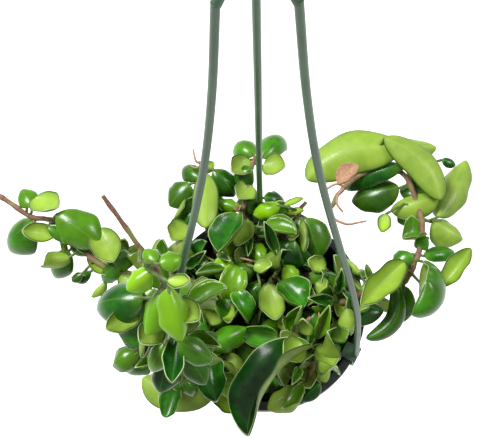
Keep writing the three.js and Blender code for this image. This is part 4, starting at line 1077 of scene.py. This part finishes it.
waxy, tree = new_material("waxy_leaf")
under, edge, rib, along, young, tint = (
    add(tree, "ShaderNodeAttribute", attribute_name=value).outputs["Fac"] for value in VALUES)
patches = noise(tree, PATCH_SIZE, 3.0)
deep = two_tones(tree, patches, 0.35, 0.68, "043104", "0c4d08")
lively = two_tones(tree, patches, 0.35, 0.68, "125504", "338608")
upper = mixed(tree, young, mixed(tree, tint, deep, lively), "88c010")
upper = mixed(tree, mapped(tree, rib, 0.0, 0.6, 0.22, 0.0), upper, "6fae3a")
upper = mixed(tree, mapped(tree, along, 0.0, 0.2, 0.35, 0.0), upper, "7ab02e")
upper = mixed(tree, mapped(tree, edge, 0.14, 0.46, 0.8, 0.0), upper, "c8d49a")
lower = mixed(tree, young, two_tones(tree, patches, 0.3, 0.7, "587628", "82993a"), "a8d03a")
lower = mixed(tree, mapped(tree, rib, 0.0, 0.7, 0.22, 0.0), lower, "a9c266")
# Painted shade: the under side darkens over its last 4 mm towards the margin, where the curled blade turns
# from the light.
lower = mixed(tree, mapped(tree, edge, 0.4, 4.0, 0.5, 0.0), lower, "587a22")
lower = mixed(tree, mapped(tree, edge, 0.6, 1.2, 0.85, 0.0), lower, "34500f")
height = add(tree, "ShaderNodeMath", {0: noise(tree, CELL_SIZE, 2.0), 1: noise(tree, SWELL_SIZE, 2.0)},
             operation="ADD").outputs[0]
surfaced(tree, {"Base Color": mixed(tree, mapped(tree, under, 0.5, 0.56), upper, lower),
                "Roughness": mapped(tree, under, 0.4, 0.6, 0.27, 0.5),
                "Normal": bumped(tree, height, 0.35, 0.12)},
         {"IOR": 1.45, "Coat Weight": 0.1, "Coat Roughness": 0.08, "Subsurface Weight": 0.04,
          "Subsurface Radius": (0.0006, 0.0012, 0.0003), "Subsurface Scale": 1.0})

# Stem: a woody brown skin with fine cracks on the older wood, greener where it is young.
woody, tree = new_material("hoya_stem_bark")
cracks = noise(tree, CRACK_SIZE, 6.0, 0.7)
greener = mapped(tree, noise(tree, BAND_SIZE, 2.0), 0.45, 0.7)
brown = two_tones(tree, cracks, 0.3, 0.7, "543628", "99705a")
surfaced(tree, {"Base Color": mixed(tree, greener, brown, "8a8a52"),
                "Normal": bumped(tree, cracks, 0.6, 0.3)}, {"Roughness": 0.7})

# Leaf stalk: short, thick and fleshy, dull green.
fleshy, tree = new_material("leaf_stalk")
tones = noise(tree, STALK_SIZE, 3.0)
surfaced(tree, {"Base Color": two_tones(tree, tones, 0.3, 0.7, "33501a", "6c8238"),
                "Normal": bumped(tree, tones, 0.3, 0.2)}, {"Roughness": 0.5})

# Dry root: the short aerial roots, dead twigs, spent flower stubs and the dry leaf, a dull pinkish tan.
dry, tree = new_material("dry_root")
fibres = noise(tree, FIBRE_SIZE, 5.0, 0.7)
surfaced(tree, {"Base Color": two_tones(tree, fibres, 0.3, 0.7, "86583f", "d2ab88"),
                "Normal": bumped(tree, fibres, 0.5, 0.2)}, {"Roughness": 0.75})

# Where each dry twig or root runs: its thickness at the start and at the end, and its points as
# seen, each x and y in pixels of the picture and the height above the rim.
TWIGS = {
    "vine_right": [
        (1.9, 1.1, [(331, 207, 16), (332, 217, 15), (346, 224, 14), (356, 223, 13), (366, 221, 13)]),
        (1.7, 1.2, [(345, 187, 17), (338, 195, 19), (337, 204, 19), (343, 212, 17)]),
        (1.6, 1.0, [(345, 187, 17), (336, 184, 20), (325, 191, 19), (323, 200, 17)])],
    "vine_back_left": [
        (1.7, 0.9, [(201, 163, 25), (196, 161, 27), (193, 149, 30)]),
        (1.3, 0.8, [(201, 164, 25), (196, 168, 26), (189, 165, 27)])],
    "vine_back_mid": [
        (1.3, 1.0, [(243, 214, 14), (238, 211, 22), (231, 206, 25)]),
        (1.2, 1.0, [(238, 211, 22), (237, 206, 25), (236, 202, 26)]),
        (1.2, 0.9, [(238, 211, 22), (240, 208, 24), (241, 205, 25)])],
    "vine_centre_left": [(1.3, 1.0, [(251, 262, 15), (252, 261, 19), (245, 259, 20), (240, 258, 19)])],
    "vine_front": [(2.1, 2.3, [(290, 345, 8), (294, 336, 15), (300, 325, 19), (311, 318, 22)])],
    "vine_centre_right": [(1.0, 1.2, [(317, 285, 13), (319, 312, 22), (320, 327, 20)])],
}
# One leaf of a vine has dried to a thin tan boat. Its row reads as the green leaves' rows do.
DRY_LEAVES = {"vine_right": [338, 184, 358, 165, 20, 40, 2, 20, "bowl", 0.0]}
# The smallest leaves grow in tiers: the stem between pairs, how far out and how far above or below
# it they stand, and their size beside the undergrowth's.
TIERS = [(1.5, (3.0, 9.0), (-9.0, 3.0), 0.75), (1.3, (3.0, 8.0), (0.0, 12.0), 0.85)]
# How far from the pot's axis and how high up the small leaves go: in the pot, and in the first tier
# of the vines that reach out of it.
POT_REACH = (50.0, UNDER_TOP)
LONG_REACH = {"vine_left": (112.0, 40.0), "vine_right": (62.0, 40.0), "vine_climber": (80.0, 116.0),
              "vine_front_left": (38.0, 40.0)}
SMALL_FORMS = ["taco", "scroll", "cupped", "twist", "bun", "tent"]
SMALL_YOUNG = 0.5                   # how young the smallest leaves are beside the undergrowth
TIER_SEED = 90
TIER_SEED_STEP = 100
LUCK_SEED = 400
ROUTE_STEPS = 6
TWIG_STEPS = 4
STEM_SIDES = 14
STALK_SIDES = 8
TWIG_SIDES = 8
NODE_STEP = 11.0                    # of stem between the swollen nodes
NODE_SWELL = 0.28                   # how much thicker the stem is at a node
NODE_LENGTH = 0.02                  # how long a node is, as a squared share of the step
STEM_WANDER = 0.25
STALK_RADII = (1.0, 0.8, 0.85, 0.35)
STALK_BOW = 0.2                     # of the stalk's length
STALK_SINK = 0.12                   # of the leaf's length
PROBE_ALONG = (0.25, 0.5, 0.75, 0.95)
PROBE_ACROSS = (-0.8, -0.4, 0.0, 0.4, 0.8)
PROBE_HALF = 0.5                    # half a small leaf's thickness
solids = {node: cad_tree(node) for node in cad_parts}
small_trees = []


def clear_of_all(leaf):
    """Whether a small leaf stands clear of every solid and of the small leaves already there."""
    points, face, _ = leaf_surface(leaf, np.array(PROBE_ALONG), np.array(PROBE_ACROSS))
    layers = [in_metres((points + face * side).reshape(-1, 3)) for side in (PROBE_HALF, -PROBE_HALF)]
    columns = len(PROBE_ACROSS)
    faces = [(i * columns + j, (i + 1) * columns + j, (i + 1) * columns + j + 1, i * columns + j + 1)
             for i in range(len(PROBE_ALONG) - 1) for j in range(columns - 1)]
    faces += [tuple(k + len(layers[0]) for k in f) for f in faces]
    leaf_tree = BVHTree.FromPolygons([Vector(p) for layer in layers for p in layer], faces)
    if any(leaf_tree.overlap(other) for other in [*solids.values(), *small_trees]):
        return False
    small_trees.append(leaf_tree)
    return True


def blades_of(name, leaves, luck, material):
    """One mesh object of leaves, each with its grain, with the values that the leaf's material reads."""
    mesh = {key: [] for key in ("points", "faces", *VALUES)}
    for leaf, grain in leaves:
        leaf_blade(leaf, luck, mesh, grain)
    blades = new_object(name, mesh["points"], mesh["faces"])
    for value in VALUES:
        layer = blades.data.attributes.new(value, "FLOAT", "POINT")
        layer.data.foreach_set("value", [float(v) for v in mesh[value]])
    blades.data.materials.append(material)
    return blades


def stem_route(line, thick, phase):
    """A stem's rod: swollen at its nodes, a little wandering, and thinner towards its end."""
    root, end = thick
    walked = np.concatenate([[0], np.cumsum(np.linalg.norm(np.diff(line, axis=0), axis=1))])
    route = []
    for i, (p, way) in enumerate(zip(line, walked)):
        swell = 1 + NODE_SWELL * math.exp(-((way / NODE_STEP) % 1 - 0.5) ** 2 / NODE_LENGTH)
        wander = STEM_WANDER * math.sin(way * 0.7 + phase)
        radius = (root + (end - root) * (i / (len(line) - 1))) / 2 * swell
        route.append((p[0] + wander, p[1] - wander, p[2], radius))
    return route


def stalk_route(leaf, line):
    """A leaf's stalk: from the stem, bowed a little backwards, into the leaf's base."""
    base = np.array(leaf[:3], dtype=float)
    foot = nearest_on(line, base)
    ahead = direction(leaf[3], leaf[4])
    bowed = (foot + base) / 2 - ahead * STALK_BOW * np.linalg.norm(base - foot)
    inside = base + ahead * STALK_SINK * leaf[6]
    return [(*p, radius) for p, radius in zip((foot, bowed, base, inside), STALK_RADII)]


def twig_route(start, end, seen):
    """A twig's rod through the points where it is seen."""
    knots = tapered([sighted(*p) for p in seen], start / 2, end / 2)
    return smooth_line(knots, TWIG_STEPS).tolist()


for number, vine in enumerate(VINES):
    name = vine["name"]
    luck = random.Random(LUCK_SEED + number)
    line = smooth_line(vine["route"], ROUTE_STEPS)
    leaves = [read_leaf(row) for row in vine["leaves"]]
    leaves += undergrowth(np.array(vine["route"], dtype=float), UNDER_SEED + number, UNDER_STEP, UNDER_REACH,
                          UNDER_SPREAD, UNDER_TOP)
    grown = [leaf for leaf in (as_grown(leaf, solids[name]) for leaf in leaves) if leaf is not None]
    small = []
    for tier, (step, spread, rise, size) in enumerate(TIERS):
        reach, top = POT_REACH if tier else LONG_REACH.get(name, POT_REACH)
        for leaf in undergrowth(line, TIER_SEED + TIER_SEED_STEP * tier + number, step, reach, spread, top):
            leaf = sized(leaf, size)
            leaf[2] += rise[0] + (rise[1] - rise[0]) * luck.random()
            leaf[8] = luck.choice(SMALL_FORMS)
            leaf[9] *= SMALL_YOUNG
            if clear_of_all(leaf):
                small.append(leaf)
    grained = [(leaf, "large" if leaf[6] >= LARGE_LEAF else "middle") for leaf in grown]
    grained += [(leaf, "small") for leaf in small]
    stalks = [stalk_route(leaf, line) for leaf in grown + small]
    growth = [blades_of(name + "_leaves", grained, luck, waxy),
              rods(name + "_stem", [stem_route(line, vine["thick"], number)], STEM_SIDES, woody),
              rods(name + "_stalks", stalks, STALK_SIDES, fleshy)]
    if name in TWIGS:
        growth.append(rods(name + "_twigs", [twig_route(*twig) for twig in TWIGS[name]], TWIG_SIDES, dry))
    if name in DRY_LEAVES:
        growth.append(blades_of(name + "_dry_leaf", [(read_leaf(DRY_LEAVES[name]), "middle")], luck, dry))
    growth = joined_as(name + "_growth", growth)
    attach(growth, "root")
    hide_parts(name)
